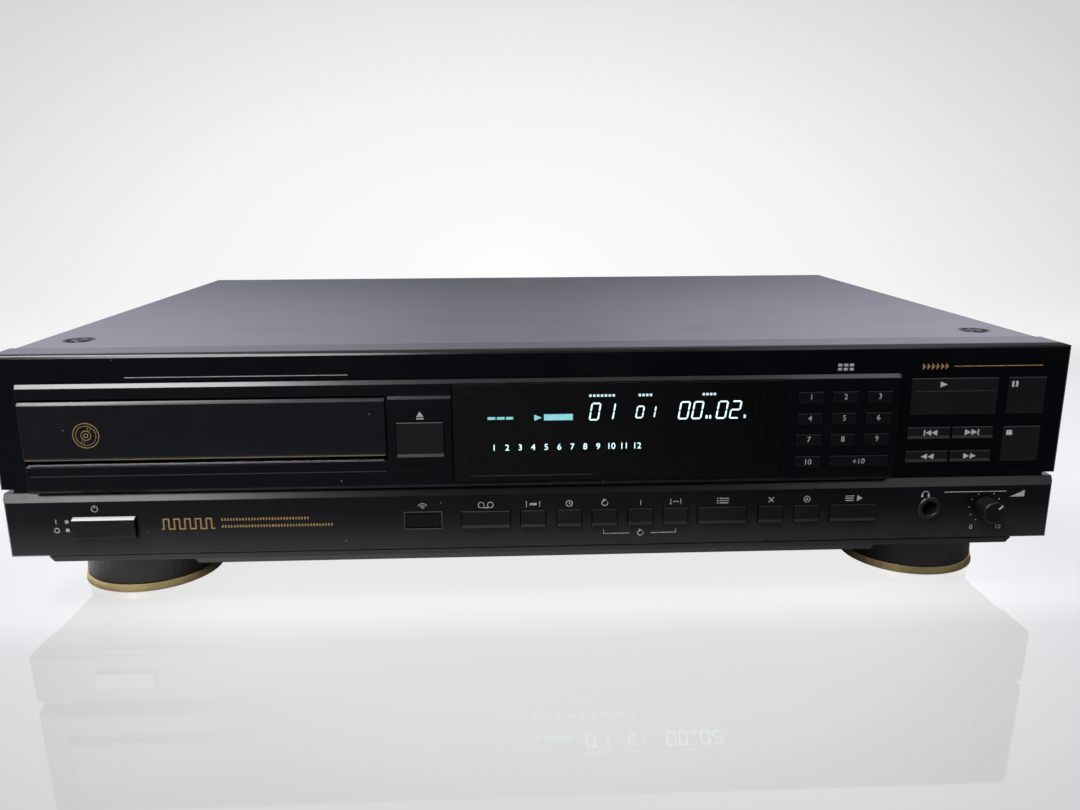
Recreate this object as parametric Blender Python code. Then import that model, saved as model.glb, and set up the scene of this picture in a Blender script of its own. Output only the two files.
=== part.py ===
"""Full-width compact disc player with a front-loading tray, built in Blender 4.5.

Run with: blender --background --python part.py
Metres, +Z up, front towards -Y. The origin is under the middle of the whole player, on the floor.
Pieces are drawn in panel terms: x to the right, d behind the front face, t below the top edge.
"""
import math

import bmesh
import bpy
from mathutils import Vector

MM = 0.001

# Case: the sizes that drive the rest
CASE_WIDTH = 434 * MM
CASE_DEPTH = 294 * MM
UPPER_HEIGHT = 54 * MM
GROOVE_HEIGHT = 2 * MM
LOWER_HEIGHT = 27 * MM
FLANGE_DEPTH = 22 * MM
SHEET = 1.0 * MM
PAN_SHEET = 1.2 * MM
FOOT_HEIGHT = 21.2 * MM
LEFT_END = -CASE_WIDTH / 2
RIGHT_END = CASE_WIDTH / 2
LOWER_TOP = UPPER_HEIGHT + GROOVE_HEIGHT
LOWER_BOTTOM = LOWER_TOP + LOWER_HEIGHT

# Fits and shop allowances
CLEAR = 0.3 * MM
OVERRUN = 2 * MM
EMBED = 0.6 * MM

# Front panels
PANEL_WALL = 3 * MM
LOWER_WALL = 4 * MM
TOP_EDGE_CHAMFER = 0.5 * MM
SIDE_EDGE_CHAMFER = 0.8 * MM
LOWER_SLOPE_HEIGHT = 3.6 * MM
LOWER_SLOPE_DEPTH = 1.9 * MM
TONGUE_RISE = 3.5 * MM
TONGUE_THICKNESS = 2.2 * MM
BOARD_POST_RADIUS = 2.5 * MM
BOARD_POST_DROP = 7.2 * MM
BOARD_POST_INSET = 6.4 * MM

# Raised centre panel
BEZEL_INSET_LEFT = 12.4 * MM
BEZEL_INSET_RIGHT = 69.3 * MM
BEZEL_TOP = 10.3 * MM
BEZEL_OVERHANG = 1.2 * MM
BEZEL_PROUD = 3.2 * MM
BEZEL_CHAMFER = 1.5 * MM
BEZEL_SIDE_CHAMFER = 0.4 * MM
BEZEL_LIP = 2.5 * MM
BEZEL_CORNER = 2 * MM
PLUG_CORNER = 1.5 * MM
BEZEL_LEFT = LEFT_END + BEZEL_INSET_LEFT
BEZEL_RIGHT = RIGHT_END - BEZEL_INSET_RIGHT
BEZEL_BOTTOM = UPPER_HEIGHT + BEZEL_OVERHANG
BEZEL_FACE = -BEZEL_PROUD
PLUG_X = (BEZEL_LEFT + BEZEL_LIP, BEZEL_RIGHT - BEZEL_LIP)
PLUG_T = (BEZEL_TOP + BEZEL_LIP, BEZEL_BOTTOM - BEZEL_LIP - GROOVE_HEIGHT)

# Disc tray: its wells, its rack and the room that a disc needs
DISC_RADIUS = 60 * MM
DISC_THICKNESS = 1.2 * MM
DISC_MARGIN = 1 * MM
DISC_LIFT = 0.7 * MM
SMALL_DISC_RADIUS = 40 * MM
WELL_DEPTH = 6.5 * MM
SMALL_WELL_DEPTH = 1.5 * MM
TRAY_SIDE_WALL = 4.4 * MM
TRAY_FRONT_RIM = 9 * MM
TRAY_TAIL = 57 * MM
TRAY_SHOW = 7 * MM
TRAY_THICKNESS = 14 * MM
TRAY_SLOT_HALF = 22 * MM
RACK_INSET = 9.6 * MM
RACK_BAR = 3.5 * MM
RACK_HEIGHT = 4 * MM
RACK_SPARE_TEETH = 2
WELL_RADIUS = DISC_RADIUS + DISC_MARGIN
TRAY_WIDTH = 2 * (WELL_RADIUS + TRAY_SIDE_WALL)
SPINDLE_D = TRAY_FRONT_RIM + WELL_RADIUS
TRAY_LENGTH = SPINDLE_D + WELL_RADIUS + TRAY_TAIL
TRAY_TRAVEL = SPINDLE_D + WELL_RADIUS + TRAY_SHOW

# Tray door, and the tray's place behind it
DOOR_INSET = 0.9 * MM
DOOR_DROP = 6.8 * MM
DOOR_TOP_CHAMFER = 1.1 * MM
DOOR_HEADROOM = 0.8 * MM
DOOR_OVERLAP = 5.65 * MM
DOOR_SKIRT = 3.7 * MM
DOOR_PROUD = 1.6 * MM
DOOR_SIDE_CHAMFER = 0.3 * MM
DOOR_EDGE_DROP = 0.2 * MM
LEDGE_CHAMFER = 1.3 * MM
LEDGE_GAP = 1.3 * MM
TRAY_DROP = 2.4 * MM
DOOR_LEFT = BEZEL_LEFT + DOOR_INSET
DOOR_RIGHT = DOOR_LEFT + TRAY_WIDTH + 2 * DOOR_OVERLAP
DOOR_TOP = BEZEL_TOP + DOOR_DROP
TRAY_X = (DOOR_LEFT + DOOR_RIGHT) / 2
TRAY_TOP = DOOR_TOP + TRAY_DROP
TRAY_BOTTOM = TRAY_TOP + TRAY_THICKNESS
DOOR_BOTTOM = TRAY_BOTTOM + RACK_HEIGHT + DOOR_SKIRT
DOOR_OPENING_T = (DOOR_TOP - DOOR_HEADROOM, DOOR_BOTTOM + LEDGE_GAP)

# Open and close button in its raised plate
PLATE_GAP = 1.3 * MM
PLATE_WIDTH = 24.9 * MM
PLATE_DROP = 6.3 * MM
PLATE_RISE = 7.5 * MM
PLATE_PROUD = 1.1 * MM
PLATE_CORNER = 2.5 * MM
OPEN_KEY_SIDE = 3.1 * MM
OPEN_KEY_DROP = 10.5 * MM
OPEN_KEY_RISE = 6.2 * MM
PLATE_X = (DOOR_RIGHT + PLATE_GAP, DOOR_RIGHT + PLATE_GAP + PLATE_WIDTH)
PLATE_TOP = BEZEL_TOP + PLATE_DROP
PLATE_BOTTOM = BEZEL_BOTTOM - PLATE_RISE
OPEN_KEY_X = (PLATE_X[0] + OPEN_KEY_SIDE, PLATE_X[1] - OPEN_KEY_SIDE)
OPEN_KEY_T = (PLATE_TOP + OPEN_KEY_DROP, PLATE_BOTTOM - OPEN_KEY_RISE)

# Display window and tube
WINDOW_INSET_RIGHT = 48.4 * MM
WINDOW_THICKNESS = 2 * MM
WINDOW_EDGE = 0.2 * MM
VIEW_MARGIN_SIDE = 6 * MM
VIEW_MARGIN_TOP = 5 * MM
VIEW_MARGIN_BOTTOM = 6 * MM
TUBE_MARGIN = 1 * MM
TUBE_THICKNESS = 7 * MM
WINDOW_X = (PLATE_X[1] + CLEAR, BEZEL_RIGHT - WINDOW_INSET_RIGHT)
WINDOW_T = (BEZEL_TOP + BEZEL_CHAMFER + CLEAR, BEZEL_BOTTOM - BEZEL_CHAMFER - 2 * CLEAR)
VIEW_X = (WINDOW_X[0] + VIEW_MARGIN_SIDE, WINDOW_X[1] - VIEW_MARGIN_SIDE)
VIEW_T = (WINDOW_T[0] + VIEW_MARGIN_TOP, WINDOW_T[1] - VIEW_MARGIN_BOTTOM)

# Number pad: columns right of the window, rows spread over the centre panel's plug
PAD_COLUMNS = 3
PAD_ROWS = 4
PAD_SIDE = 10.4 * MM
PAD_PITCH_X = 14.1 * MM
PAD_MARGIN_TOP = 6.8 * MM
PAD_MARGIN_BOTTOM = 4.4 * MM
PAD_KEY_WIDTH = 10.4 * MM
PAD_KEY_HEIGHT = 4.9 * MM
TEN_KEY_HEIGHT = 4.6 * MM
TEN_KEY_MARGIN = 1.9 * MM
TEN_KEY_SHIFT = 0.2 * MM
PLUS_TEN_TRIM = 0.3 * MM
PAD_LEFT = WINDOW_X[1] + PAD_SIDE
PAD_TOP = PLUG_T[0] + PAD_MARGIN_TOP
PAD_PITCH_T = (PLUG_T[1] - PAD_MARGIN_BOTTOM - PAD_TOP) / (PAD_ROWS - 1)
TEN_KEY_T = (PLUG_T[1] - TEN_KEY_MARGIN - TEN_KEY_HEIGHT, PLUG_T[1] - TEN_KEY_MARGIN)

# Transport keys on the upper panel
PLAY_TOP = 12.8 * MM
PLAY_GAP = 5.4 * MM
PLAY_SIDE = 4.4 * MM
PLAY_INSET = 29 * MM
PAUSE_WIDTH = 15.5 * MM
PAUSE_INSET = 9 * MM
STOP_HEIGHT = 15 * MM
STOP_RISE = 5.4 * MM
SKIP_RISE = 15.5 * MM
SKIP_HEIGHT = 5 * MM
SEARCH_RISE = 5.5 * MM
SEARCH_HEIGHT = 4.8 * MM
BACK_WIDTH = 17.7 * MM
FORWARD_WIDTH = 17 * MM
SKIP_GAP = 1.1 * MM
STOP_T = (UPPER_HEIGHT - STOP_RISE - STOP_HEIGHT, UPPER_HEIGHT - STOP_RISE)
PLAY_T = (PLAY_TOP, STOP_T[0] - PLAY_GAP)
SKIP_T = (UPPER_HEIGHT - SKIP_RISE - SKIP_HEIGHT, UPPER_HEIGHT - SKIP_RISE)
SEARCH_T = (UPPER_HEIGHT - SEARCH_RISE - SEARCH_HEIGHT, UPPER_HEIGHT - SEARCH_RISE)
PLAY_X = (BEZEL_RIGHT + PLAY_SIDE, RIGHT_END - PLAY_INSET)
PAUSE_X = (RIGHT_END - PAUSE_INSET - PAUSE_WIDTH, RIGHT_END - PAUSE_INSET)
BACK_X = (PLAY_X[0], PLAY_X[0] + BACK_WIDTH)
FORWARD_X = (BACK_X[1] + SKIP_GAP, BACK_X[1] + SKIP_GAP + FORWARD_WIDTH)

# Function keys on the lower panel: start and end of each, from the row's left end
ROW_INSET_RIGHT = 249.3 * MM
ROW_DROP = 10.6 * MM
ROW_KEY_HEIGHT = 7.4 * MM
ROW_KEY_SPANS = (
    (0, 19.8 * MM),
    (24.4 * MM, 34.5 * MM),
    (39.5 * MM, 49.5 * MM),
    (54.2 * MM, 64.4 * MM),
    (69.1 * MM, 79.4 * MM),
    (83.9 * MM, 94.1 * MM),
    (98.5 * MM, 118.8 * MM),
    (124 * MM, 134.3 * MM),
    (139.2 * MM, 149.5 * MM),
    (154.4 * MM, 174.2 * MM),
)
ROW_LEFT = RIGHT_END - ROW_INSET_RIGHT
ROW_KEY_T = (LOWER_TOP + ROW_DROP, LOWER_TOP + ROW_DROP + ROW_KEY_HEIGHT)

# Every key cap and its stem
KEY_PROUD = 0.5 * MM
KEY_EDGE = 0.3 * MM
KEY_LIP_OUT = 0.7 * MM
FLAT_KEY_LIP_OUT = 0.1 * MM
KEY_LIP_RUN = 1.1 * MM
KEY_LIP_FLAT = 0.3 * MM
KEY_GUIDE = 1.5 * MM
KEY_STEM = 3 * MM
KEY_TRAVEL = 0.8 * MM

# Power button and sensor pocket on the lower panel
POWER_INSET = 27 * MM
POWER_WIDTH = 25 * MM
POWER_DROP = 10 * MM
POWER_HEIGHT = 8.8 * MM
POWER_BEVEL = 0.9 * MM
POWER_PROUD = 2 * MM
POWER_TRAVEL = 2 * MM
POWER_STEM = 5 * MM
SENSOR_SIDE = 8.1 * MM
SENSOR_WIDTH = 15.8 * MM
SENSOR_DROP = 10.4 * MM
SENSOR_HEIGHT = 7.8 * MM
SENSOR_DEPTH = 1 * MM
POWER_X = (LEFT_END + POWER_INSET, LEFT_END + POWER_INSET + POWER_WIDTH)
POWER_T = (LOWER_TOP + POWER_DROP, LOWER_TOP + POWER_DROP + POWER_HEIGHT)
SENSOR_X = (ROW_LEFT - SENSOR_SIDE - SENSOR_WIDTH, ROW_LEFT - SENSOR_SIDE)
SENSOR_T = (LOWER_TOP + SENSOR_DROP, LOWER_TOP + SENSOR_DROP + SENSOR_HEIGHT)

# Headphone jack and level knob on the lower panel
JACK_INSET = 52.4 * MM
JACK_DROP = 13 * MM
JACK_BORE_RADIUS = 3.25 * MM
JACK_NECK_WALL = 0.95 * MM
JACK_RING_WALL = 1.75 * MM
JACK_PROUD = 0.9 * MM
JACK_BODY = 13 * MM
JACK_BORE_DEPTH = 16 * MM
JACK_END_WALL = 4 * MM
KNOB_INSET = 28.3 * MM
KNOB_DROP = 12.9 * MM
KNOB_RADIUS = 5 * MM
KNOB_PROUD = 8 * MM
KNOB_TAPER = 0.4 * MM
KNOB_EDGE = 0.5 * MM
KNOB_STANDOFF = 0.6 * MM
SHAFT_RADIUS = 3 * MM
SHAFT_END = 9 * MM
JACK_CENTRE = (RIGHT_END - JACK_INSET, LOWER_TOP + JACK_DROP)
JACK_NECK_RADIUS = JACK_BORE_RADIUS + JACK_NECK_WALL
JACK_RING_RADIUS = JACK_BORE_RADIUS + JACK_RING_WALL
KNOB_CENTRE = (RIGHT_END - KNOB_INSET, LOWER_TOP + KNOB_DROP)

# Feet with their trim rings
FOOT_INSET = 40.3 * MM
FOOT_SETBACK = 45 * MM
FOOT_RADIUS = 28.8 * MM
FOOT_TAPER = 0.6 * MM
FOOT_EDGE = 0.5 * MM
FOOT_GROOVE = 2.8 * MM
RING_HEIGHT = 3.3 * MM
RING_PROUD = 1 * MM
RING_FLARE = 0.7 * MM
FOOT_X = RIGHT_END - FOOT_INSET
FOOT_ROWS = ((FOOT_SETBACK, "front"), (CASE_DEPTH - FOOT_SETBACK, "rear"))
FOOT_CORE_RADIUS = FOOT_RADIUS - FOOT_GROOVE
RING_RADIUS = FOOT_RADIUS + RING_PROUD

# Top cover
COVER_INSET = 1.3 * MM
COVER_BEND = 1.2 * MM
DIMPLE_INSET = 18.2 * MM
DIMPLE_D = 41 * MM
DIMPLE_FLOOR_RADIUS = 5 * MM
DIMPLE_SPREAD = 2 * MM
DIMPLE_DEPTH = 1.4 * MM
DIMPLE_WALL = 1 * MM
COVER_HALF = RIGHT_END - COVER_INSET
DIMPLE_X = COVER_HALF - DIMPLE_INSET
DIMPLE_TOP_RADIUS = DIMPLE_FLOOR_RADIUS + DIMPLE_SPREAD

# Base pan: two stepped floors that get narrower downwards, the first one over the feet
PAN_WALL_DROP = 6 * MM
PAN_FLOOR_SINK = 0.8 * MM
REAR_RECESS = 1.5 * MM
STEP_ONE_INSET = 15 * MM
STEP_ONE_FRONT = 0.8 * MM
STEP_ONE_REAR_MARGIN = 6 * MM
STEP_ONE_HEIGHT = 2.2 * MM
STEP_TWO_GAP = 3.9 * MM
STEP_TWO_FRONT = 5 * MM
STEP_TWO_REAR_MARGIN = 12 * MM
STEP_TWO_HEIGHT = 4.5 * MM
STEP_SLOPE = 2 * MM
PAN_FRONT = FLANGE_DEPTH + CLEAR
PAN_REAR = CASE_DEPTH - REAR_RECESS - SHEET - CLEAR
PAN_HALF = COVER_HALF - SHEET - CLEAR
PAN_WALL_TOP = LOWER_TOP + PAN_WALL_DROP
STEP_ONE_HALF = RIGHT_END - STEP_ONE_INSET
STEP_TWO_HALF = FOOT_X - FOOT_RADIUS - STEP_TWO_GAP
STEP_ONE_T = LOWER_BOTTOM + CLEAR
PAN_FLOOR_T = STEP_ONE_T + PAN_FLOOR_SINK
STEP_ONE_FLOOR = STEP_ONE_T + STEP_ONE_HEIGHT
STEP_TWO_FLOOR = STEP_ONE_FLOOR + STEP_TWO_HEIGHT
FOOT_TOP = STEP_ONE_FLOOR + CLEAR
FLOOR_T = FOOT_TOP + FOOT_HEIGHT

# Display and key board
BOARD_THICKNESS = 1.6 * MM
BOARD_FRONT = 14 * MM
BOARD_SIDE = 1.6 * MM
BOARD_INSET_RIGHT = 5 * MM
BOARD_TOP = 5 * MM
BOARD_WAIST_RISE = 1 * MM
BOARD_BOTTOM_RISE = 4.5 * MM
BOARD_JACK_GAP = 10.6 * MM
BOARD_LEFT = DOOR_RIGHT + BOARD_SIDE
BOARD_RIGHT = RIGHT_END - BOARD_INSET_RIGHT
BOARD_WAIST = LOWER_TOP - BOARD_WAIST_RISE
BOARD_BOTTOM = LOWER_BOTTOM - BOARD_BOTTOM_RISE
BOARD_LOWER_RIGHT = JACK_CENTRE[0] - BOARD_JACK_GAP

# Loader: frame, drive gear, turntable, pickup and clamp
LOADER_WALL = 2 * MM
LOADER_FRONT = 8 * MM
LOADER_TAIL = 22 * MM
LOADER_DROP = 16.5 * MM
LOADER_PLATE = 2 * MM
LOADER_LEDGE = 3 * MM
LOADER_LIP = 2 * MM
LEDGE_THICKNESS = 2 * MM
LEG_RADIUS = 4 * MM
LEG_INSET = 10.4 * MM
LEG_FRONT_MARGIN = 32 * MM
LEG_REAR_MARGIN = 16 * MM
GEAR_MODULE = 1.25 * MM
GEAR_TEETH = 16
GEAR_TOOTH_REACH = 0.9 * MM
GEAR_ROOT_DEPTH = 1.5 * MM
GEAR_BACKLASH = 0.55 * MM
GEAR_FLANK = 0.35
GEAR_THICKNESS = 3.2 * MM
GEAR_D = 30 * MM
GEAR_AXLE_RADIUS = 2 * MM
GEAR_SHOULDER = 2 * MM
TURNTABLE_RADIUS = 15 * MM
TURNTABLE_THICKNESS = 2 * MM
CONE_RADIUS = 7.2 * MM
CONE_TAPER = 3 * MM
CONE_HEIGHT = 3.4 * MM
HUB_RADIUS = 6 * MM
HUB_LENGTH = 6.5 * MM
MOTOR_RADIUS = 12 * MM
SLED_HALF = 17 * MM
SLED_GAP = 4 * MM
SLED_LENGTH = 30 * MM
SLED_RISE = 1.5 * MM
SLED_HEIGHT = 13 * MM
SLED_TRAVEL = 33 * MM
LENS_RADIUS = 4 * MM
LENS_RISE = 2.4 * MM
LENS_INSET = 8 * MM
ROD_RADIUS = 1.5 * MM
ROD_SPREAD = 12 * MM
ROD_DROP = 7.5 * MM
ROD_POST = 2 * MM
ROD_POST_RISE = 3.5 * MM
ARM_RISE = 10.2 * MM
ARM_THICKNESS = 2 * MM
ARM_HALF = 13 * MM
ARM_LENGTH = 120 * MM
ARM_NOSE = 13 * MM
ARM_PIVOT_DROP = 2.7 * MM
ARM_BARREL_RADIUS = 3.2 * MM
ARM_PIN_RADIUS = 1.6 * MM
EAR_THICKNESS = 2 * MM
EAR_HALF_DEPTH = 5 * MM
EAR_RISE = 4 * MM
PUCK_RISE = 2.3 * MM
PUCK_RADIUS = 14 * MM
PUCK_BODY_RADIUS = 9 * MM
PUCK_CAP_RADIUS = 7.5 * MM
PUCK_NECK_RADIUS = 4 * MM
PUCK_RIM = 4 * MM
TURNTABLE_T = TRAY_TOP + WELL_DEPTH - DISC_LIFT
GEAR_RADIUS = GEAR_MODULE * GEAR_TEETH / 2
RACK_LINE = TRAY_X - TRAY_WIDTH / 2 + RACK_INSET
GEAR_X = RACK_LINE + GEAR_RADIUS
GEAR_T = (TRAY_BOTTOM + CLEAR, TRAY_BOTTOM + CLEAR + GEAR_THICKNESS)
LOADER_PLATE_T = (TRAY_BOTTOM + LOADER_DROP, TRAY_BOTTOM + LOADER_DROP + LOADER_PLATE)
SLED_FRONT = SPINDLE_D + TURNTABLE_RADIUS + SLED_GAP
SLED_T = (TRAY_BOTTOM - SLED_RISE, TRAY_BOTTOM - SLED_RISE + SLED_HEIGHT)
ROD_T = SLED_T[0] + ROD_DROP
ARM_T = (TRAY_TOP - ARM_RISE, TRAY_TOP - ARM_RISE + ARM_THICKNESS)
ARM_PIVOT_D = SPINDLE_D + ARM_LENGTH
ARM_PIVOT_T = ARM_T[0] + ARM_PIVOT_DROP
LOADER_REAR = ARM_PIVOT_D + LOADER_TAIL
PUCK_TOP = ARM_T[0] - PUCK_RISE
PUCK_BOTTOM = TURNTABLE_T - DISC_THICKNESS

# Power transformer, on the pan's first floor beside the second
CORE_WIDTH = 54 * MM
CORE_LENGTH = 34 * MM
CORE_HEIGHT = 50 * MM
CORE_OVERHANG = 0.5 * MM
CORE_REAR_MARGIN = 54 * MM
COIL_OVERHANG = 11 * MM
COIL_INSET_SIDE = 9 * MM
COIL_INSET_END = 9 * MM
CORE_X = (STEP_TWO_HALF - CORE_OVERHANG, STEP_TWO_HALF - CORE_OVERHANG + CORE_WIDTH)
CORE_D = (CASE_DEPTH - CORE_REAR_MARGIN - CORE_LENGTH, CASE_DEPTH - CORE_REAR_MARGIN)

# Main board, between the loader and the transformer
MAIN_BOARD_SIDE = 11.6 * MM
MAIN_BOARD_CORE_GAP = 31.5 * MM
MAIN_BOARD_FRONT = 60 * MM
MAIN_BOARD_REAR_MARGIN = 26 * MM
MAIN_BOARD_RISE = 7 * MM
MAIN_POST_INSET = 8 * MM
CAPACITOR_RADIUS = 9 * MM
CAPACITOR_HEIGHT = 30 * MM
CAPACITOR_PITCH = 24 * MM
CAPACITOR_INSET = 24 * MM
CAPACITOR_COUNT = 3
CHIP_SIZE = 18 * MM
CHIP_HEIGHT = 3 * MM
CHIP_ROW_INSET = 36 * MM
CHIP_COUNT = 3
MAIN_BOARD_X = (DOOR_RIGHT + MAIN_BOARD_SIDE, CORE_X[0] - MAIN_BOARD_CORE_GAP)
MAIN_BOARD_D = (MAIN_BOARD_FRONT, CASE_DEPTH - MAIN_BOARD_REAR_MARGIN)
MAIN_BOARD_T = (LOWER_BOTTOM - MAIN_BOARD_RISE, LOWER_BOTTOM - MAIN_BOARD_RISE + BOARD_THICKNESS)

# Rear panel, output jacks and mains inlet
PHONO_INSET = 195 * MM
PHONO_PITCH = 20 * MM
PHONO_RISE = 43 * MM
PHONO_RADIUS = 4.2 * MM
PHONO_CORE_RADIUS = 1.6 * MM
PHONO_CORE_DEPTH = 6 * MM
PHONO_LENGTH = 10 * MM
PHONO_PLATE_MARGIN = 9 * MM
PHONO_PLATE = 1.6 * MM
PHONO_BLOCK_INSET = 3 * MM
PHONO_BLOCK_DEPTH = 14 * MM
INLET_INSET = 39 * MM
INLET_RISE = 37 * MM
INLET_HALF = (12.5 * MM, 8 * MM)
INLET_FLANGE = 2.5 * MM
INLET_FLANGE_THICKNESS = 1.5 * MM
INLET_DEPTH = 16 * MM
INLET_WALL = 2.5 * MM
INLET_CAVITY = 11 * MM
INLET_PIN_RADIUS = 1.2 * MM
INLET_PIN_SPREAD = 4.6 * MM
INLET_PIN_LENGTH = 8 * MM
REAR_FACE = CASE_DEPTH - REAR_RECESS
REARMOST = REAR_FACE + PHONO_LENGTH
PHONO_X = (LEFT_END + PHONO_INSET, LEFT_END + PHONO_INSET + PHONO_PITCH)
PHONO_T = LOWER_BOTTOM - PHONO_RISE
INLET_CENTRE = (RIGHT_END - INLET_INSET, LOWER_BOTTOM - INLET_RISE)

# Smoothness of round shapes
ROUND_SIDES = 32
WIDE_SIDES = 48
MEDIUM_SIDES = 24
SMALL_SIDES = 12
CORNER_STEPS = 4
SMOOTH_ANGLE = math.radians(35)

# Where the front face lies, with the origin under the middle of the whole player
FRONT_Y = KNOB_PROUD - (REARMOST + KNOB_PROUD) / 2


def at(x, d, t):
    """Point at x, d behind the front face and t below the top edge."""
    return Vector((x, FRONT_Y + d, FLOOR_T - t))


def grown(pair, amount):
    """A low and high pair, moved apart by the amount at both ends."""
    return (pair[0] - amount, pair[1] + amount)


def about(middle, half):
    """A low and high pair, as far below the middle as above it."""
    return (middle - half, middle + half)


def loft(bm, rings, ring_closed=False):
    """Skin rings of points one after the other; cap the ends, or close the last to the first."""
    loops = [[bm.verts.new(point) for point in ring] for ring in rings]
    pairs = list(zip(loops, loops[1:]))
    if ring_closed:
        pairs.append((loops[-1], loops[0]))
    for low, high in pairs:
        count = len(low)
        for i in range(count):
            j = (i + 1) % count
            bm.faces.new((low[i], low[j], high[j], high[i]))
    if not ring_closed:
        bm.faces.new(loops[0])
        bm.faces.new(loops[-1])


def block(bm, x, d, t):
    """Box between three low and high pairs."""
    corners = ((x[0], t[0]), (x[1], t[0]), (x[1], t[1]), (x[0], t[1]))
    loft(bm, [[at(a, depth, c) for a, c in corners] for depth in d])


def panel_ring(d, x, t, radii=None):
    """Rectangle at depth d, with a rounded corner wherever radii gives one."""
    corners = ((x[0], t[0], 1, 1), (x[1], t[0], -1, 1), (x[1], t[1], -1, -1), (x[0], t[1], 1, -1))
    points = []
    for index, (cx, ct, sx, st) in enumerate(corners):
        radius = radii[index] if radii else None
        if radius is None:
            points.append(at(cx, d, ct))
            continue
        start = math.pi + index * math.pi / 2
        for step in range(CORNER_STEPS + 1):
            angle = start + step * math.pi / 2 / CORNER_STEPS
            points.append(at(cx + radius * (sx + math.cos(angle)), d, ct + radius * (st + math.sin(angle))))
    return points


def stack_d(bm, levels):
    """Rectangles (d, x, t[, radii]) lofted from the front backwards."""
    loft(bm, [panel_ring(*level) for level in levels])


def stack_t(bm, levels):
    """Rectangles (t, x, d) lofted from the top downwards."""
    rings = []
    for t, x, d in levels:
        rings.append([at(x[0], d[0], t), at(x[1], d[0], t), at(x[1], d[1], t), at(x[0], d[1], t)])
    loft(bm, rings)


def side_profile(bm, x, points):
    """Outline of (d, t) points extruded from one x to the other."""
    loft(bm, [[at(side, d, t) for d, t in points] for side in x])


def turned(bm, place, profile, sides=ROUND_SIDES, hollow=False):
    """Turned shape: place(a, b, along) puts each point of the (along, radius) profile."""
    rings = []
    for along, radius in profile:
        angles = [2 * math.pi * (i + 0.5) / sides for i in range(sides)]
        rings.append([place(radius * math.cos(a), radius * math.sin(a), along) for a in angles])
    loft(bm, rings, ring_closed=hollow)


def upright(x, d):
    """Placing function for a shape turned about a vertical axis; along is measured as t."""
    return lambda a, b, along: at(x + a, d + b, along)


def facing(x, t):
    """Placing function for a shape turned about a front-to-back axis; along is measured as d."""
    return lambda a, b, along: at(x + a, along, t + b)


def crosswise(d, t):
    """Placing function for a shape turned about a left-to-right axis; along is measured as x."""
    return lambda a, b, along: at(along, d + a, t + b)


def finish(name, colour, roughness, metallic):
    """The piece's own material."""
    material = bpy.data.materials.new(name + "_finish")
    material.use_nodes = True
    shader = material.node_tree.nodes["Principled BSDF"]
    shader.inputs["Base Color"].default_value = (*colour, 1)
    shader.inputs["Roughness"].default_value = roughness
    shader.inputs["Metallic"].default_value = metallic
    return material


BLACK_PAINT = ((0.02, 0.02, 0.022), 0.35, 0.0)
BLACK_PANEL = ((0.012, 0.012, 0.016), 0.32, 0.0)
BLACK_KEY = ((0.022, 0.022, 0.026), 0.4, 0.0)
SMOKED = ((0.006, 0.004, 0.005), 0.06, 0.0)
FOOT_BLACK = ((0.02, 0.02, 0.02), 0.45, 0.0)
GOLD = ((0.72, 0.55, 0.26), 0.25, 1.0)
BOARD_GREEN = ((0.03, 0.16, 0.08), 0.5, 0.0)
BOARD_TAN = ((0.42, 0.28, 0.13), 0.55, 0.0)
STEEL = ((0.55, 0.56, 0.58), 0.35, 1.0)
LOADER_BLACK = ((0.04, 0.04, 0.045), 0.5, 0.0)
NYLON = ((0.75, 0.73, 0.68), 0.45, 0.0)


def to_mesh(name, bm, pivot):
    """Mesh with outward faces, drawn about the pivot."""
    bmesh.ops.recalc_face_normals(bm, faces=bm.faces)
    bmesh.ops.translate(bm, verts=bm.verts, vec=-pivot)
    mesh = bpy.data.meshes.new(name)
    bm.to_mesh(mesh)
    bm.free()
    return mesh


def piece(name, bm, look, pivot=None, smooth=False):
    """One named sub-part, with its origin at the pivot."""
    pivot = pivot or Vector((0, 0, 0))
    mesh = to_mesh(name, bm, pivot)
    if smooth:
        mesh.shade_smooth()
        mesh.set_sharp_from_angle(angle=SMOOTH_ANGLE)
    body = bpy.data.objects.new(name, mesh)
    body.location = pivot
    body.data.materials.append(finish(name, *look))
    bpy.context.collection.objects.link(body)
    return body


def shape(body, bm, operation, label):
    """Cut a shape out of a piece, or join one to it, with a hidden tool that follows the piece."""
    name = body.name + "_" + label
    tool = bpy.data.objects.new(name, to_mesh(name, bm, Vector(body.location)))
    bpy.context.collection.objects.link(tool)
    tool.parent = body
    tool.hide_render = True
    tool.display_type = "WIRE"
    step = body.modifiers.new(label, "BOOLEAN")
    step.operation = operation
    step.solver = "EXACT"
    step.object = tool


def cut(body, bm, label):
    shape(body, bm, "DIFFERENCE", label)


def join(body, bm, label):
    shape(body, bm, "UNION", label)


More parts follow.
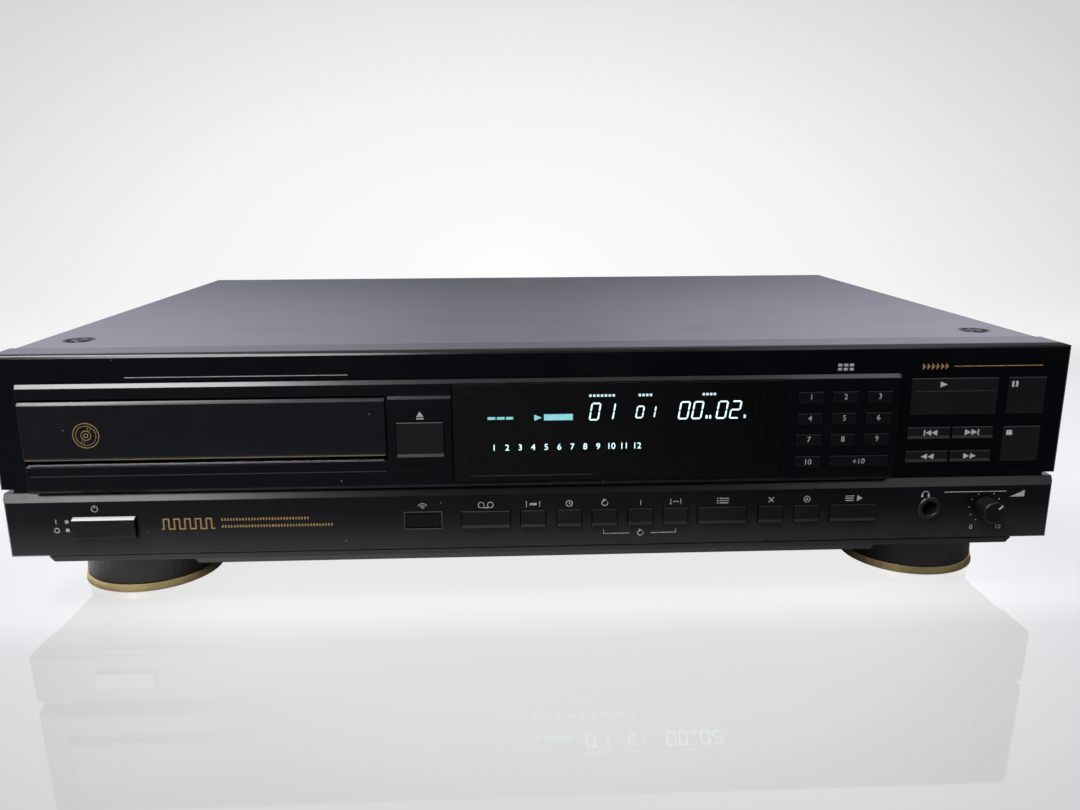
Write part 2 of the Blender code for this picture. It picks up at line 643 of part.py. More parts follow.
def upper_fascia():
    """Moulded upper front with a top flange, side flanges and posts for the board."""
    half = CASE_WIDTH / 2
    bm = bmesh.new()
    stack_d(bm, [
        (0, grown((-half, half), -SIDE_EDGE_CHAMFER), (TOP_EDGE_CHAMFER, UPPER_HEIGHT - KEY_EDGE)),
        (TOP_EDGE_CHAMFER, (-half, half), (0, UPPER_HEIGHT)),
        (FLANGE_DEPTH, (-half, half), (0, UPPER_HEIGHT)),
    ])
    body = piece("upper_fascia", bm, BLACK_PANEL)
    bm = bmesh.new()
    block(bm, grown((-half, half), -PANEL_WALL), (PANEL_WALL, FLANGE_DEPTH + OVERRUN),
          (PANEL_WALL, UPPER_HEIGHT + OVERRUN))
    cut(body, bm, "hollow")
    bm = bmesh.new()
    through = (-OVERRUN, PANEL_WALL + OVERRUN)
    block(bm, grown(PLUG_X, CLEAR), through, grown(PLUG_T, CLEAR))
    for _, x, t in transport_keys():
        block(bm, grown(x, CLEAR), through, grown(t, CLEAR))
    cut(body, bm, "openings")
    bm = bmesh.new()
    for x in (BOARD_LEFT + BOARD_POST_INSET, BOARD_RIGHT - BOARD_POST_INSET):
        turned(bm, facing(x, BOARD_POST_DROP), [(PANEL_WALL - EMBED, BOARD_POST_RADIUS),
                                                (BOARD_FRONT - CLEAR, BOARD_POST_RADIUS)], SMALL_SIDES)
    join(body, bm, "posts")


def centre_bezel():
    """Raised centre panel that frames the tray, the display and the number pad."""
    x = (BEZEL_LEFT, BEZEL_RIGHT)
    t = (BEZEL_TOP, BEZEL_BOTTOM)
    face_x = (x[0] + BEZEL_SIDE_CHAMFER, x[1] - BEZEL_CHAMFER)
    face_radius = BEZEL_CORNER - BEZEL_CHAMFER
    bm = bmesh.new()
    stack_d(bm, [
        (BEZEL_FACE, face_x, grown(t, -BEZEL_CHAMFER), (None, face_radius, face_radius, None)),
        (BEZEL_FACE + BEZEL_CHAMFER, x, t, (None, BEZEL_CORNER, BEZEL_CORNER, None)),
        (-CLEAR, x, t, (None, BEZEL_CORNER, BEZEL_CORNER, None)),
        (-CLEAR, PLUG_X, PLUG_T, (None, PLUG_CORNER, PLUG_CORNER, None)),
        (PANEL_WALL, PLUG_X, PLUG_T, (None, PLUG_CORNER, PLUG_CORNER, None)),
    ])
    body = piece("centre_bezel", bm, BLACK_PANEL)
    bm = bmesh.new()
    plate_face = BEZEL_FACE - PLATE_PROUD
    flat = (None, None, None, PLATE_CORNER)
    stack_d(bm, [
        (plate_face, PLATE_X, (PLATE_TOP + PLATE_PROUD, PLATE_BOTTOM), flat),
        (BEZEL_FACE, PLATE_X, (PLATE_TOP, PLATE_BOTTOM), flat),
        (BEZEL_FACE + EMBED, PLATE_X, (PLATE_TOP, PLATE_BOTTOM), flat),
    ])
    join(body, bm, "button_plate")
    back = PANEL_WALL + OVERRUN
    beyond = plate_face - OVERRUN
    door_x = grown((DOOR_LEFT, DOOR_RIGHT), CLEAR)
    top, bottom = DOOR_OPENING_T
    bm = bmesh.new()
    block(bm, (PLUG_X[0] + BEZEL_LIP, door_x[1]), (-EMBED, back), DOOR_OPENING_T)
    block(bm, grown(OPEN_KEY_X, CLEAR), (beyond, back), grown(OPEN_KEY_T, CLEAR))
    block(bm, VIEW_X, (beyond, back), VIEW_T)
    for _, key_x, key_t in number_keys():
        block(bm, grown(key_x, CLEAR), (beyond, back), grown(key_t, CLEAR))
    cut(body, bm, "openings")
    bm = bmesh.new()
    stack_d(bm, [
        (beyond, door_x, (top, bottom + LEDGE_CHAMFER + BEZEL_FACE - beyond)),
        (BEZEL_FACE + LEDGE_CHAMFER, door_x, (top, bottom)),
        (0, door_x, (top, bottom)),
    ])
    cut(body, bm, "door_seat")
    bm = bmesh.new()
    block(bm, grown(WINDOW_X, CLEAR), (beyond, BEZEL_FACE + WINDOW_THICKNESS + CLEAR),
          grown(WINDOW_T, CLEAR))
    cut(body, bm, "window_seat")


def display_window():
    """Smoked acrylic pane, flush with the centre panel."""
    bm = bmesh.new()
    x = WINDOW_X
    stack_d(bm, [
        (BEZEL_FACE, grown(x, -WINDOW_EDGE), grown(WINDOW_T, -WINDOW_EDGE)),
        (BEZEL_FACE + WINDOW_EDGE, x, WINDOW_T),
        (BEZEL_FACE + WINDOW_THICKNESS, x, WINDOW_T),
    ])
    piece("display_window", bm, SMOKED)


def lower_fascia():
    """Moulded lower front; its tongue closes the groove behind the upper panel."""
    half = CASE_WIDTH / 2
    slope_end = LOWER_TOP + LOWER_SLOPE_HEIGHT
    side_share = SIDE_EDGE_CHAMFER / LOWER_SLOPE_DEPTH
    side_t = slope_end - LOWER_SLOPE_HEIGHT * side_share
    bm = bmesh.new()
    stack_d(bm, [
        (0, grown((-half, half), -SIDE_EDGE_CHAMFER), (slope_end, LOWER_BOTTOM - SIDE_EDGE_CHAMFER)),
        (SIDE_EDGE_CHAMFER, (-half, half), (side_t, LOWER_BOTTOM)),
        (LOWER_SLOPE_DEPTH, (-half, half), (LOWER_TOP, LOWER_BOTTOM)),
        (FLANGE_DEPTH, (-half, half), (LOWER_TOP, LOWER_BOTTOM)),
    ])
    body = piece("lower_fascia", bm, BLACK_PANEL)
    bm = bmesh.new()
    block(bm, grown((-half, half), -PANEL_WALL), (LOWER_WALL, FLANGE_DEPTH + OVERRUN),
          (LOWER_TOP - OVERRUN, LOWER_BOTTOM - PANEL_WALL))
    cut(body, bm, "hollow")
    bm = bmesh.new()
    tongue_d = (PANEL_WALL + CLEAR, PANEL_WALL + CLEAR + TONGUE_THICKNESS)
    block(bm, grown((-half, half), -PANEL_WALL - CLEAR), tongue_d,
          (UPPER_HEIGHT - TONGUE_RISE, LOWER_TOP + LOWER_WALL))
    join(body, bm, "tongue")
    bm = bmesh.new()
    through = (-OVERRUN, LOWER_WALL + OVERRUN)
    for x in row_keys():
        block(bm, grown(x, CLEAR), through, grown(ROW_KEY_T, CLEAR))
    block(bm, grown(POWER_X, CLEAR), through, grown(POWER_T, CLEAR))
    block(bm, SENSOR_X, (-OVERRUN, SENSOR_DEPTH), SENSOR_T)
    for (x, t), radius in ((JACK_CENTRE, JACK_NECK_RADIUS), (KNOB_CENTRE, SHAFT_RADIUS)):
        ends = [(depth, radius + CLEAR) for depth in through]
        turned(bm, facing(x, t), ends)
    cut(body, bm, "openings")


def number_keys():
    """Names and places of the number pad's keys."""
    columns = [about(PAD_LEFT + column * PAD_PITCH_X, PAD_KEY_WIDTH / 2) for column in range(PAD_COLUMNS)]
    rows = [about(PAD_TOP + row * PAD_PITCH_T, PAD_KEY_HEIGHT / 2) for row in range(PAD_ROWS - 1)]
    keys = []
    for row in rows:
        for column in columns:
            keys.append(("number_key_%d" % (len(keys) + 1), column, row))
    ten = (columns[0][0] + TEN_KEY_SHIFT, columns[0][1] + TEN_KEY_SHIFT)
    plus_ten = (columns[1][0] + PLUS_TEN_TRIM, columns[-1][1] + TEN_KEY_SHIFT)
    keys.append(("number_key_10", ten, TEN_KEY_T))
    keys.append(("number_key_plus_10", plus_ten, TEN_KEY_T))
    return keys


def transport_keys():
    """Names and places of the transport keys."""
    return [
        ("play_key", PLAY_X, PLAY_T),
        ("pause_key", PAUSE_X, PLAY_T),
        ("stop_key", PAUSE_X, STOP_T),
        ("skip_back_key", BACK_X, SKIP_T),
        ("skip_forward_key", FORWARD_X, SKIP_T),
        ("search_back_key", BACK_X, SEARCH_T),
        ("search_forward_key", FORWARD_X, SEARCH_T),
    ]


def row_keys():
    """Left and right sides of the function keys."""
    return [(ROW_LEFT + start, ROW_LEFT + end) for start, end in ROW_KEY_SPANS]


def key(name, x, t, face, wall_back, lip_out=KEY_LIP_OUT):
    """Key cap with a lip along its bottom edge and a stem that ends just short of the board."""
    front = face - KEY_PROUD
    lip = front - lip_out
    back = wall_back + KEY_GUIDE
    outline = [
        (back, t[0]), (front + KEY_EDGE, t[0]), (front, t[0] + KEY_EDGE),
        (front, t[1] - KEY_LIP_FLAT - KEY_LIP_RUN), (lip, t[1] - KEY_LIP_FLAT),
        (lip, t[1] - KEY_EDGE), (lip + KEY_EDGE, t[1]), (back, t[1]),
    ]
    bm = bmesh.new()
    side_profile(bm, x, outline)
    centre = ((x[0] + x[1]) / 2, (t[0] + t[1]) / 2)
    body = piece(name, bm, BLACK_KEY, at(centre[0], face, centre[1]))
    bm = bmesh.new()
    half = min(KEY_STEM / 2, (t[1] - t[0]) / 2 - KEY_EDGE)
    block(bm, about(centre[0], half), (back - EMBED, BOARD_FRONT - CLEAR - KEY_TRAVEL),
          about(centre[1], half))
    join(body, bm, "stem")


def keys():
    """All the keys that press on the display and key board."""
    key("open_close_key", OPEN_KEY_X, OPEN_KEY_T, BEZEL_FACE - PLATE_PROUD, PANEL_WALL)
    for name, x, t in number_keys():
        key(name, x, t, BEZEL_FACE, PANEL_WALL, FLAT_KEY_LIP_OUT)
    for name, x, t in transport_keys():
        flat = name in ("play_key", "pause_key", "stop_key")
        key(name, x, t, 0, PANEL_WALL, FLAT_KEY_LIP_OUT if flat else KEY_LIP_OUT)
    for index, x in enumerate(row_keys()):
        key("row_key_%d" % (index + 1), x, ROW_KEY_T, 0, LOWER_WALL)


def power_button():
    """Power button with a bevelled top edge, on a push rod."""
    x, t = POWER_X, POWER_T
    back = LOWER_WALL + POWER_TRAVEL + KEY_GUIDE
    outline = [(back, t[0]), (0, t[0]), (-POWER_PROUD, t[0] + POWER_BEVEL), (-POWER_PROUD, t[1] - KEY_EDGE),
               (KEY_EDGE - POWER_PROUD, t[1]), (back, t[1])]
    bm = bmesh.new()
    side_profile(bm, x, outline)
    centre = ((x[0] + x[1]) / 2, (t[0] + t[1]) / 2)
    body = piece("power_button", bm, BLACK_KEY, at(centre[0], 0, centre[1]))
    bm = bmesh.new()
    rod_end = PAN_FRONT - CLEAR - POWER_TRAVEL
    block(bm, about(centre[0], POWER_STEM / 2), (back - EMBED, rod_end), about(centre[1], POWER_STEM / 2))
    join(body, bm, "rod")


def headphone_jack():
    """Headphone jack: a ringed neck through the panel, and a body with a blind bore."""
    x, t = JACK_CENTRE
    neck_end = LOWER_WALL + CLEAR
    body_end = JACK_BORE_DEPTH + JACK_END_WALL
    bm = bmesh.new()
    turned(bm, facing(x, t), [
        (-JACK_PROUD, JACK_BORE_RADIUS + KEY_EDGE), (-JACK_PROUD, JACK_RING_RADIUS - KEY_EDGE),
        (KEY_EDGE - JACK_PROUD, JACK_RING_RADIUS), (-CLEAR, JACK_RING_RADIUS), (-CLEAR, JACK_NECK_RADIUS),
        (neck_end + EMBED, JACK_NECK_RADIUS), (body_end - EMBED, JACK_NECK_RADIUS),
        (body_end - EMBED, KEY_EDGE), (JACK_BORE_DEPTH, KEY_EDGE), (JACK_BORE_DEPTH, JACK_BORE_RADIUS),
        (KEY_EDGE - JACK_PROUD, JACK_BORE_RADIUS),
    ], hollow=True)
    body = piece("headphone_jack", bm, LOADER_BLACK, smooth=True)
    bm = bmesh.new()
    half = JACK_BODY / 2
    block(bm, about(x, half), (neck_end, body_end), about(t, half - KEY_EDGE))
    join(body, bm, "case")
    bm = bmesh.new()
    turned(bm, facing(x, t), [(-OVERRUN, JACK_BORE_RADIUS), (JACK_BORE_DEPTH, JACK_BORE_RADIUS)])
    cut(body, bm, "bore")


def level_knob():
    """Headphone level knob on its shaft."""
    x, t = KNOB_CENTRE
    bm = bmesh.new()
    turned(bm, facing(x, t), [
        (-KNOB_PROUD, KNOB_RADIUS - KNOB_TAPER - KNOB_EDGE),
        (KNOB_EDGE - KNOB_PROUD, KNOB_RADIUS - KNOB_TAPER),
        (-KNOB_STANDOFF, KNOB_RADIUS), (-KNOB_STANDOFF, SHAFT_RADIUS), (SHAFT_END, SHAFT_RADIUS),
    ])
    piece("level_knob", bm, BLACK_KEY, at(x, 0, t), smooth=True)


def display_board():
    """Board behind the front, with the display tube soldered to its face."""
    bm = bmesh.new()
    faces = (BOARD_FRONT, BOARD_FRONT + BOARD_THICKNESS)
    outline = (
        (BOARD_LEFT, BOARD_TOP), (BOARD_RIGHT, BOARD_TOP), (BOARD_RIGHT, BOARD_WAIST),
        (BOARD_LOWER_RIGHT, BOARD_WAIST), (BOARD_LOWER_RIGHT, BOARD_BOTTOM), (BOARD_LEFT, BOARD_BOTTOM),
    )
    loft(bm, [[at(x, d, t) for x, t in outline] for d in faces])
    body = piece("display_board", bm, BOARD_GREEN)
    bm = bmesh.new()
    block(bm, grown(VIEW_X, -TUBE_MARGIN), (BOARD_FRONT - TUBE_THICKNESS, BOARD_FRONT + EMBED),
          grown(VIEW_T, TUBE_MARGIN))
    join(body, bm, "tube")


def base_pan():
    """Folded steel pan; two pressed steps make the floor deeper towards the middle."""
    outer_x = (-PAN_HALF, PAN_HALF)
    one_x = (-STEP_ONE_HALF, STEP_ONE_HALF)
    two_x = (-STEP_TWO_HALF, STEP_TWO_HALF)
    one_d = (STEP_ONE_FRONT, PAN_REAR - STEP_ONE_REAR_MARGIN)
    two_d = (STEP_TWO_FRONT, PAN_REAR - STEP_TWO_REAR_MARGIN)
    bm = bmesh.new()
    block(bm, outer_x, (PAN_FRONT, PAN_REAR), (PAN_WALL_TOP, PAN_FLOOR_T))
    body = piece("base_pan", bm, BLACK_PAINT)
    bm = bmesh.new()
    stack_t(bm, [
        (STEP_ONE_T, one_x, one_d),
        (STEP_ONE_FLOOR, grown(one_x, -STEP_SLOPE), one_d),
        (STEP_ONE_FLOOR, grown(two_x, STEP_SLOPE), two_d),
        (STEP_TWO_FLOOR, two_x, grown(two_d, -STEP_SLOPE)),
    ])
    join(body, bm, "steps")
    bm = bmesh.new()
    wall = PAN_SHEET
    inner_one_d = (PAN_FRONT + wall * 2, one_d[1] - wall)
    inner_two_d = (PAN_FRONT + wall * 3, two_d[1] - STEP_SLOPE - wall)
    stack_t(bm, [
        (PAN_WALL_TOP - OVERRUN, grown(outer_x, -wall), (PAN_FRONT + wall, PAN_REAR - wall)),
        (PAN_FLOOR_T - wall, grown(outer_x, -wall), (PAN_FRONT + wall, PAN_REAR - wall)),
        (PAN_FLOOR_T - wall, grown(one_x, -STEP_SLOPE - wall), inner_one_d),
        (STEP_ONE_FLOOR - wall, grown(one_x, -STEP_SLOPE - wall), inner_one_d),
        (STEP_ONE_FLOOR - wall, grown(two_x, -wall), inner_two_d),
        (STEP_TWO_FLOOR - wall, grown(two_x, -wall), inner_two_d),
    ])
    cut(body, bm, "hollow")


def pan_floor(x):
    """How far below the top edge the pan's inner floor lies at x."""
    if abs(x) < STEP_TWO_HALF - PAN_SHEET:
        return STEP_TWO_FLOOR - PAN_SHEET
    return STEP_ONE_FLOOR - PAN_SHEET


def leg(bm, x, d, top):
    """Post from a plate or board down to just above the pan's floor."""
    turned(bm, upright(x, d), [(top, LEG_RADIUS), (pan_floor(x) - CLEAR, LEG_RADIUS)], SMALL_SIDES)


def top_cover():
    """Folded steel cover over the top and both sides, with a screw dimple at each front corner."""
    d = (FLANGE_DEPTH + CLEAR, CASE_DEPTH)
    half = COVER_HALF
    bend = COVER_BEND
    foot = LOWER_BOTTOM
    arc = [(half - bend + bend * math.sin(a), bend - bend * math.cos(a))
           for a in (math.pi / 2 * i / CORNER_STEPS for i in range(CORNER_STEPS + 1))]
    outline = arc + [(half, foot), (half - SHEET, foot), (half - SHEET, SHEET)]
    mirrored = [(-x, t) for x, t in reversed(outline)]
    bm = bmesh.new()
    loft(bm, [[at(x, depth, t) for x, t in outline + mirrored] for depth in d])
    body = piece("top_cover", bm, BLACK_PAINT)
    bm = bmesh.new()
    for side in (-1, 1):
        turned(bm, upright(side * DIMPLE_X, DIMPLE_D), [
            (SHEET - EMBED, DIMPLE_TOP_RADIUS + DIMPLE_WALL),
            (DIMPLE_DEPTH + DIMPLE_WALL, DIMPLE_FLOOR_RADIUS + DIMPLE_WALL),
        ])
    join(body, bm, "dimple_backs")
    bm = bmesh.new()
    for side in (-1, 1):
        slope = (DIMPLE_TOP_RADIUS - DIMPLE_FLOOR_RADIUS) / DIMPLE_DEPTH
        turned(bm, upright(side * DIMPLE_X, DIMPLE_D), [
            (-OVERRUN, DIMPLE_TOP_RADIUS + slope * OVERRUN),
            (DIMPLE_DEPTH, DIMPLE_FLOOR_RADIUS),
        ])
    cut(body, bm, "dimples")


def rear_panel():
    """Steel rear panel, inside the cover's edge, with holes for the jacks and the inlet."""
    bm = bmesh.new()
    through = (REAR_FACE - SHEET, REAR_FACE)
    block(bm, (-PAN_HALF, PAN_HALF), through, (SHEET + CLEAR, LOWER_BOTTOM))
    body = piece("rear_panel", bm, BLACK_PAINT)
    bm = bmesh.new()
    hole_d = (REAR_FACE - SHEET - OVERRUN, REAR_FACE + OVERRUN)
    x, t = phono_block()
    block(bm, grown(x, CLEAR), hole_d, grown(t, CLEAR))
    x, t = INLET_CENTRE
    block(bm, about(x, INLET_HALF[0] + CLEAR), hole_d, about(t, INLET_HALF[1] + CLEAR))
    cut(body, bm, "holes")


def phono_block():
    """The part of the output jacks that passes through the rear panel."""
    margin = PHONO_PLATE_MARGIN - PHONO_BLOCK_INSET
    return grown(PHONO_X, margin), about(PHONO_T, margin)


def output_jacks():
    """Pair of output sockets on one moulded plate."""
    plate_back = REAR_FACE + CLEAR
    bm = bmesh.new()
    block(bm, grown(PHONO_X, PHONO_PLATE_MARGIN), (plate_back, plate_back + PHONO_PLATE),
          about(PHONO_T, PHONO_PLATE_MARGIN))
    body = piece("output_jacks", bm, LOADER_BLACK)
    bm = bmesh.new()
    x, t = phono_block()
    block(bm, x, (REAR_FACE - PHONO_BLOCK_DEPTH, plate_back + EMBED), t)
    join(body, bm, "block")
    bm = bmesh.new()
    for x in PHONO_X:
        turned(bm, facing(x, PHONO_T), [
            (plate_back + EMBED, PHONO_RADIUS), (REARMOST, PHONO_RADIUS),
        ], MEDIUM_SIDES)
    join(body, bm, "barrels")
    bm = bmesh.new()
    for x in PHONO_X:
        turned(bm, facing(x, PHONO_T), [
            (REARMOST - PHONO_CORE_DEPTH, PHONO_CORE_RADIUS), (REARMOST + OVERRUN, PHONO_CORE_RADIUS),
        ], SMALL_SIDES)
    cut(body, bm, "cores")


def mains_inlet():
    """Two-pin mains inlet with its flange outside the rear panel."""
    x, t = INLET_CENTRE
    half_x, half_t = INLET_HALF
    flange_back = REAR_FACE + CLEAR
    face = flange_back + INLET_FLANGE_THICKNESS
    bm = bmesh.new()
    stack_d(bm, [
        (REAR_FACE - INLET_DEPTH, about(x, half_x), about(t, half_t)),
        (flange_back, about(x, half_x), about(t, half_t)),
        (flange_back, about(x, half_x + INLET_FLANGE), about(t, half_t + INLET_FLANGE)),
        (face, about(x, half_x + INLET_FLANGE), about(t, half_t + INLET_FLANGE)),
    ])
    body = piece("mains_inlet", bm, LOADER_BLACK)
    bm = bmesh.new()
    block(bm, about(x, half_x - INLET_WALL), (face - INLET_CAVITY, face + OVERRUN),
          about(t, half_t - INLET_WALL))
    cut(body, bm, "cavity")
    bm = bmesh.new()
    for side in (-1, 1):
        turned(bm, facing(x + side * INLET_PIN_SPREAD, t), [
            (face - INLET_CAVITY - EMBED, INLET_PIN_RADIUS),
            (face - INLET_CAVITY + INLET_PIN_LENGTH, INLET_PIN_RADIUS),
        ], SMALL_SIDES)
    join(body, bm, "pins")


def feet():
    """Four round feet, each with a trim ring round its lower end."""
    ring_top = FLOOR_T - RING_HEIGHT - CLEAR
    for d, row in FOOT_ROWS:
        for side, hand in ((-1, "left"), (1, "right")):
            place = upright(side * FOOT_X, d)
            bm = bmesh.new()
            turned(bm, place, [
                (FOOT_TOP, FOOT_RADIUS - FOOT_TAPER), (ring_top - CLEAR, FOOT_RADIUS),
                (ring_top - CLEAR, FOOT_CORE_RADIUS), (FLOOR_T - FOOT_EDGE, FOOT_CORE_RADIUS),
                (FLOOR_T, FOOT_CORE_RADIUS - FOOT_EDGE),
            ], WIDE_SIDES)
            piece("foot_%s_%s" % (row, hand), bm, FOOT_BLACK, smooth=True)
            bm = bmesh.new()
            turned(bm, place, [
                (ring_top, RING_RADIUS - RING_FLARE), (FLOOR_T - CLEAR, RING_RADIUS),
                (FLOOR_T - CLEAR, FOOT_CORE_RADIUS + CLEAR), (ring_top, FOOT_CORE_RADIUS + CLEAR),
            ], WIDE_SIDES, hollow=True)
            piece("foot_ring_%s_%s" % (row, hand), bm, GOLD, smooth=True)


def tooth_outline():
    """Half-open outline of one straight-sided tooth as (along, out) points about its centre."""
    reach, root = GEAR_TOOTH_REACH, GEAR_ROOT_DEPTH
    half = (math.pi * GEAR_MODULE / 2 - GEAR_BACKLASH) / 2
    return [(-half - root * GEAR_FLANK, -root), (-half + reach * GEAR_FLANK, reach),
            (half - reach * GEAR_FLANK, reach), (half + root * GEAR_FLANK, -root)]


def disc_tray():
    """Sliding tray with a well for each disc size, a slot for the mechanism and a rack below."""
    half = TRAY_WIDTH / 2
    bm = bmesh.new()
    block(bm, about(TRAY_X, half), (0, TRAY_LENGTH), (TRAY_TOP, TRAY_BOTTOM))
    body = piece("disc_tray", bm, LOADER_BLACK, at(TRAY_X, 0, TRAY_TOP))
    bm = bmesh.new()
    pitch = math.pi * GEAR_MODULE
    line = RACK_LINE
    count = math.ceil(TRAY_TRAVEL / pitch) + RACK_SPARE_TEETH
    outline = []
    for index in range(count):
        middle = GEAR_D + (index - 0.5) * pitch
        outline += [(line + out, middle + along) for along, out in tooth_outline()]
    back = line - GEAR_ROOT_DEPTH - RACK_BAR
    outline += [(back, outline[-1][1]), (back, outline[0][1])]
    loft(bm, [[at(x, d, t) for x, d in outline] for t in (TRAY_BOTTOM - EMBED, TRAY_BOTTOM + RACK_HEIGHT)])
    join(body, bm, "rack")
    bm = bmesh.new()
    well = TRAY_TOP + WELL_DEPTH
    place = upright(TRAY_X, SPINDLE_D)
    turned(bm, place, [
        (TRAY_TOP - OVERRUN, WELL_RADIUS), (well, WELL_RADIUS),
        (well, SMALL_DISC_RADIUS + DISC_MARGIN), (well + SMALL_WELL_DEPTH, SMALL_DISC_RADIUS + DISC_MARGIN),
    ], WIDE_SIDES)
    cut(body, bm, "wells")
    bm = bmesh.new()
    radius = TRAY_SLOT_HALF
    end = TRAY_LENGTH + OVERRUN
    slot = [(TRAY_X + radius, end), (TRAY_X - radius, end)]
    for step in range(2 * CORNER_STEPS + 1):
        angle = math.pi + math.pi * step / (2 * CORNER_STEPS)
        slot.append((TRAY_X + radius * math.cos(angle), SPINDLE_D + radius * math.sin(angle)))
    loft(bm, [[at(x, d, t) for x, d in slot] for t in (TRAY_TOP - OVERRUN, TRAY_BOTTOM + OVERRUN)])
    cut(body, bm, "slot")


def tray_door():
    """Door on the front of the tray, with bevelled top and bottom edges."""
    x = (DOOR_LEFT, DOOR_RIGHT)
    face = BEZEL_FACE - DOOR_PROUD
    bm = bmesh.new()
    stack_d(bm, [
        (face, grown(x, -DOOR_SIDE_CHAMFER), (DOOR_TOP + DOOR_TOP_CHAMFER, DOOR_BOTTOM - DOOR_PROUD)),
        (face + DOOR_SIDE_CHAMFER, x, (DOOR_TOP + DOOR_TOP_CHAMFER - DOOR_EDGE_DROP,
                                       DOOR_BOTTOM - DOOR_PROUD + DOOR_SIDE_CHAMFER)),
        (BEZEL_FACE, x, (DOOR_TOP, DOOR_BOTTOM)),
        (-CLEAR, x, (DOOR_TOP, DOOR_BOTTOM)),
    ])
    piece("tray_door", bm, BLACK_PANEL, at(TRAY_X, 0, TRAY_TOP))


def loader_frame():
    """Loader chassis: floor plate, rails, legs, motor, sled rods, gear post and clamp ears."""
    inner = TRAY_WIDTH / 2 + CLEAR
    outer = inner + LOADER_WALL
    plate = LOADER_PLATE_T
    bm = bmesh.new()
    block(bm, about(TRAY_X, outer), (LOADER_FRONT, LOADER_REAR), plate)
    body = piece("loader_frame", bm, LOADER_BLACK)
    lip_top = TRAY_TOP - CLEAR - LEDGE_THICKNESS
    ledge = TRAY_BOTTOM + CLEAR
    bm = bmesh.new()
    for side in (-1, 1):
        rail = [(outer, plate[0] + EMBED), (outer, lip_top), (inner - LOADER_LIP, lip_top),
                (inner - LOADER_LIP, TRAY_TOP - CLEAR), (inner, TRAY_TOP - CLEAR), (inner, ledge),
                (inner - LOADER_LEDGE, ledge), (inner - LOADER_LEDGE, ledge + LEDGE_THICKNESS),
                (inner, ledge + LEDGE_THICKNESS), (inner, plate[0] + EMBED)]
        loft(bm, [[at(TRAY_X + side * x, d, t) for x, t in rail] for d in (LOADER_FRONT, LOADER_REAR)])
    join(body, bm, "rails")
    bm = bmesh.new()
    for d in (LOADER_FRONT + LEG_FRONT_MARGIN, LOADER_REAR - LEG_REAR_MARGIN):
        for side in (-1, 1):
            leg(bm, TRAY_X + side * (TRAY_WIDTH / 2 - LEG_INSET), d, plate[1] - EMBED)
    join(body, bm, "legs")
    bm = bmesh.new()
    turned(bm, upright(TRAY_X, SPINDLE_D), [
        (TURNTABLE_T + TURNTABLE_THICKNESS + HUB_LENGTH + CLEAR, MOTOR_RADIUS),
        (plate[0] + EMBED, MOTOR_RADIUS),
    ])
    turned(bm, upright(GEAR_X, GEAR_D), [
        (GEAR_T[0] + CLEAR, GEAR_AXLE_RADIUS), (GEAR_T[1] + CLEAR, GEAR_AXLE_RADIUS),
        (GEAR_T[1] + CLEAR, GEAR_AXLE_RADIUS + GEAR_SHOULDER),
        (plate[0] + EMBED, GEAR_AXLE_RADIUS + GEAR_SHOULDER),
    ], MEDIUM_SIDES)
    for side in (-1, 1):
        near = TRAY_X + side * (ARM_HALF + CLEAR)
        far = near + side * EAR_THICKNESS
        block(bm, (min(near, far), max(near, far)), about(ARM_PIVOT_D, EAR_HALF_DEPTH),
              (ARM_PIVOT_T - EAR_RISE, plate[0] + EMBED))
    for d in rod_posts():
        block(bm, about(TRAY_X, SLED_HALF), d, (ROD_T - ROD_POST_RISE, plate[0] + EMBED))
    join(body, bm, "carriers")
    bm = bmesh.new()
    first, last = rod_posts()
    for side in (-1, 1):
        turned(bm, facing(TRAY_X + side * ROD_SPREAD, ROD_T), [
            (first[1] - EMBED, ROD_RADIUS), (last[0] + EMBED, ROD_RADIUS),
        ], SMALL_SIDES)
    join(body, bm, "rods")
    bm = bmesh.new()
    reach = ARM_HALF + EAR_THICKNESS + OVERRUN
    turned(bm, crosswise(ARM_PIVOT_D, ARM_PIVOT_T), [
        (TRAY_X - reach, ARM_PIN_RADIUS + CLEAR), (TRAY_X + reach, ARM_PIN_RADIUS + CLEAR),
    ], SMALL_SIDES)
    cut(body, bm, "pivot_holes")


def rod_posts():
    """Depth ranges of the two posts that hold the sled rods."""
    front = SLED_FRONT - CLEAR
    rear = SLED_FRONT + SLED_LENGTH + SLED_TRAVEL + CLEAR
    return (front - ROD_POST, front), (rear, rear + ROD_POST)


def loading_gear():
    """Gear on the frame's post, in mesh with the tray's rack."""
    outline = []
    for tooth in range(GEAR_TEETH):
        angle = math.pi + 2 * math.pi * tooth / GEAR_TEETH
        for along, out in tooth_outline():
            radius = GEAR_RADIUS + out
            turn = angle + along / GEAR_RADIUS
            outline.append((GEAR_X + radius * math.cos(turn), GEAR_D + radius * math.sin(turn)))
    bm = bmesh.new()
    loft(bm, [[at(x, d, t) for x, d in outline] for t in GEAR_T])
    body = piece("loading_gear", bm, NYLON, at(GEAR_X, GEAR_D, GEAR_T[0]))
    bm = bmesh.new()
    turned(bm, upright(GEAR_X, GEAR_D), [
        (GEAR_T[0] - OVERRUN, GEAR_AXLE_RADIUS + CLEAR), (GEAR_T[1] + OVERRUN, GEAR_AXLE_RADIUS + CLEAR),
    ], MEDIUM_SIDES)
    cut(body, bm, "bore")


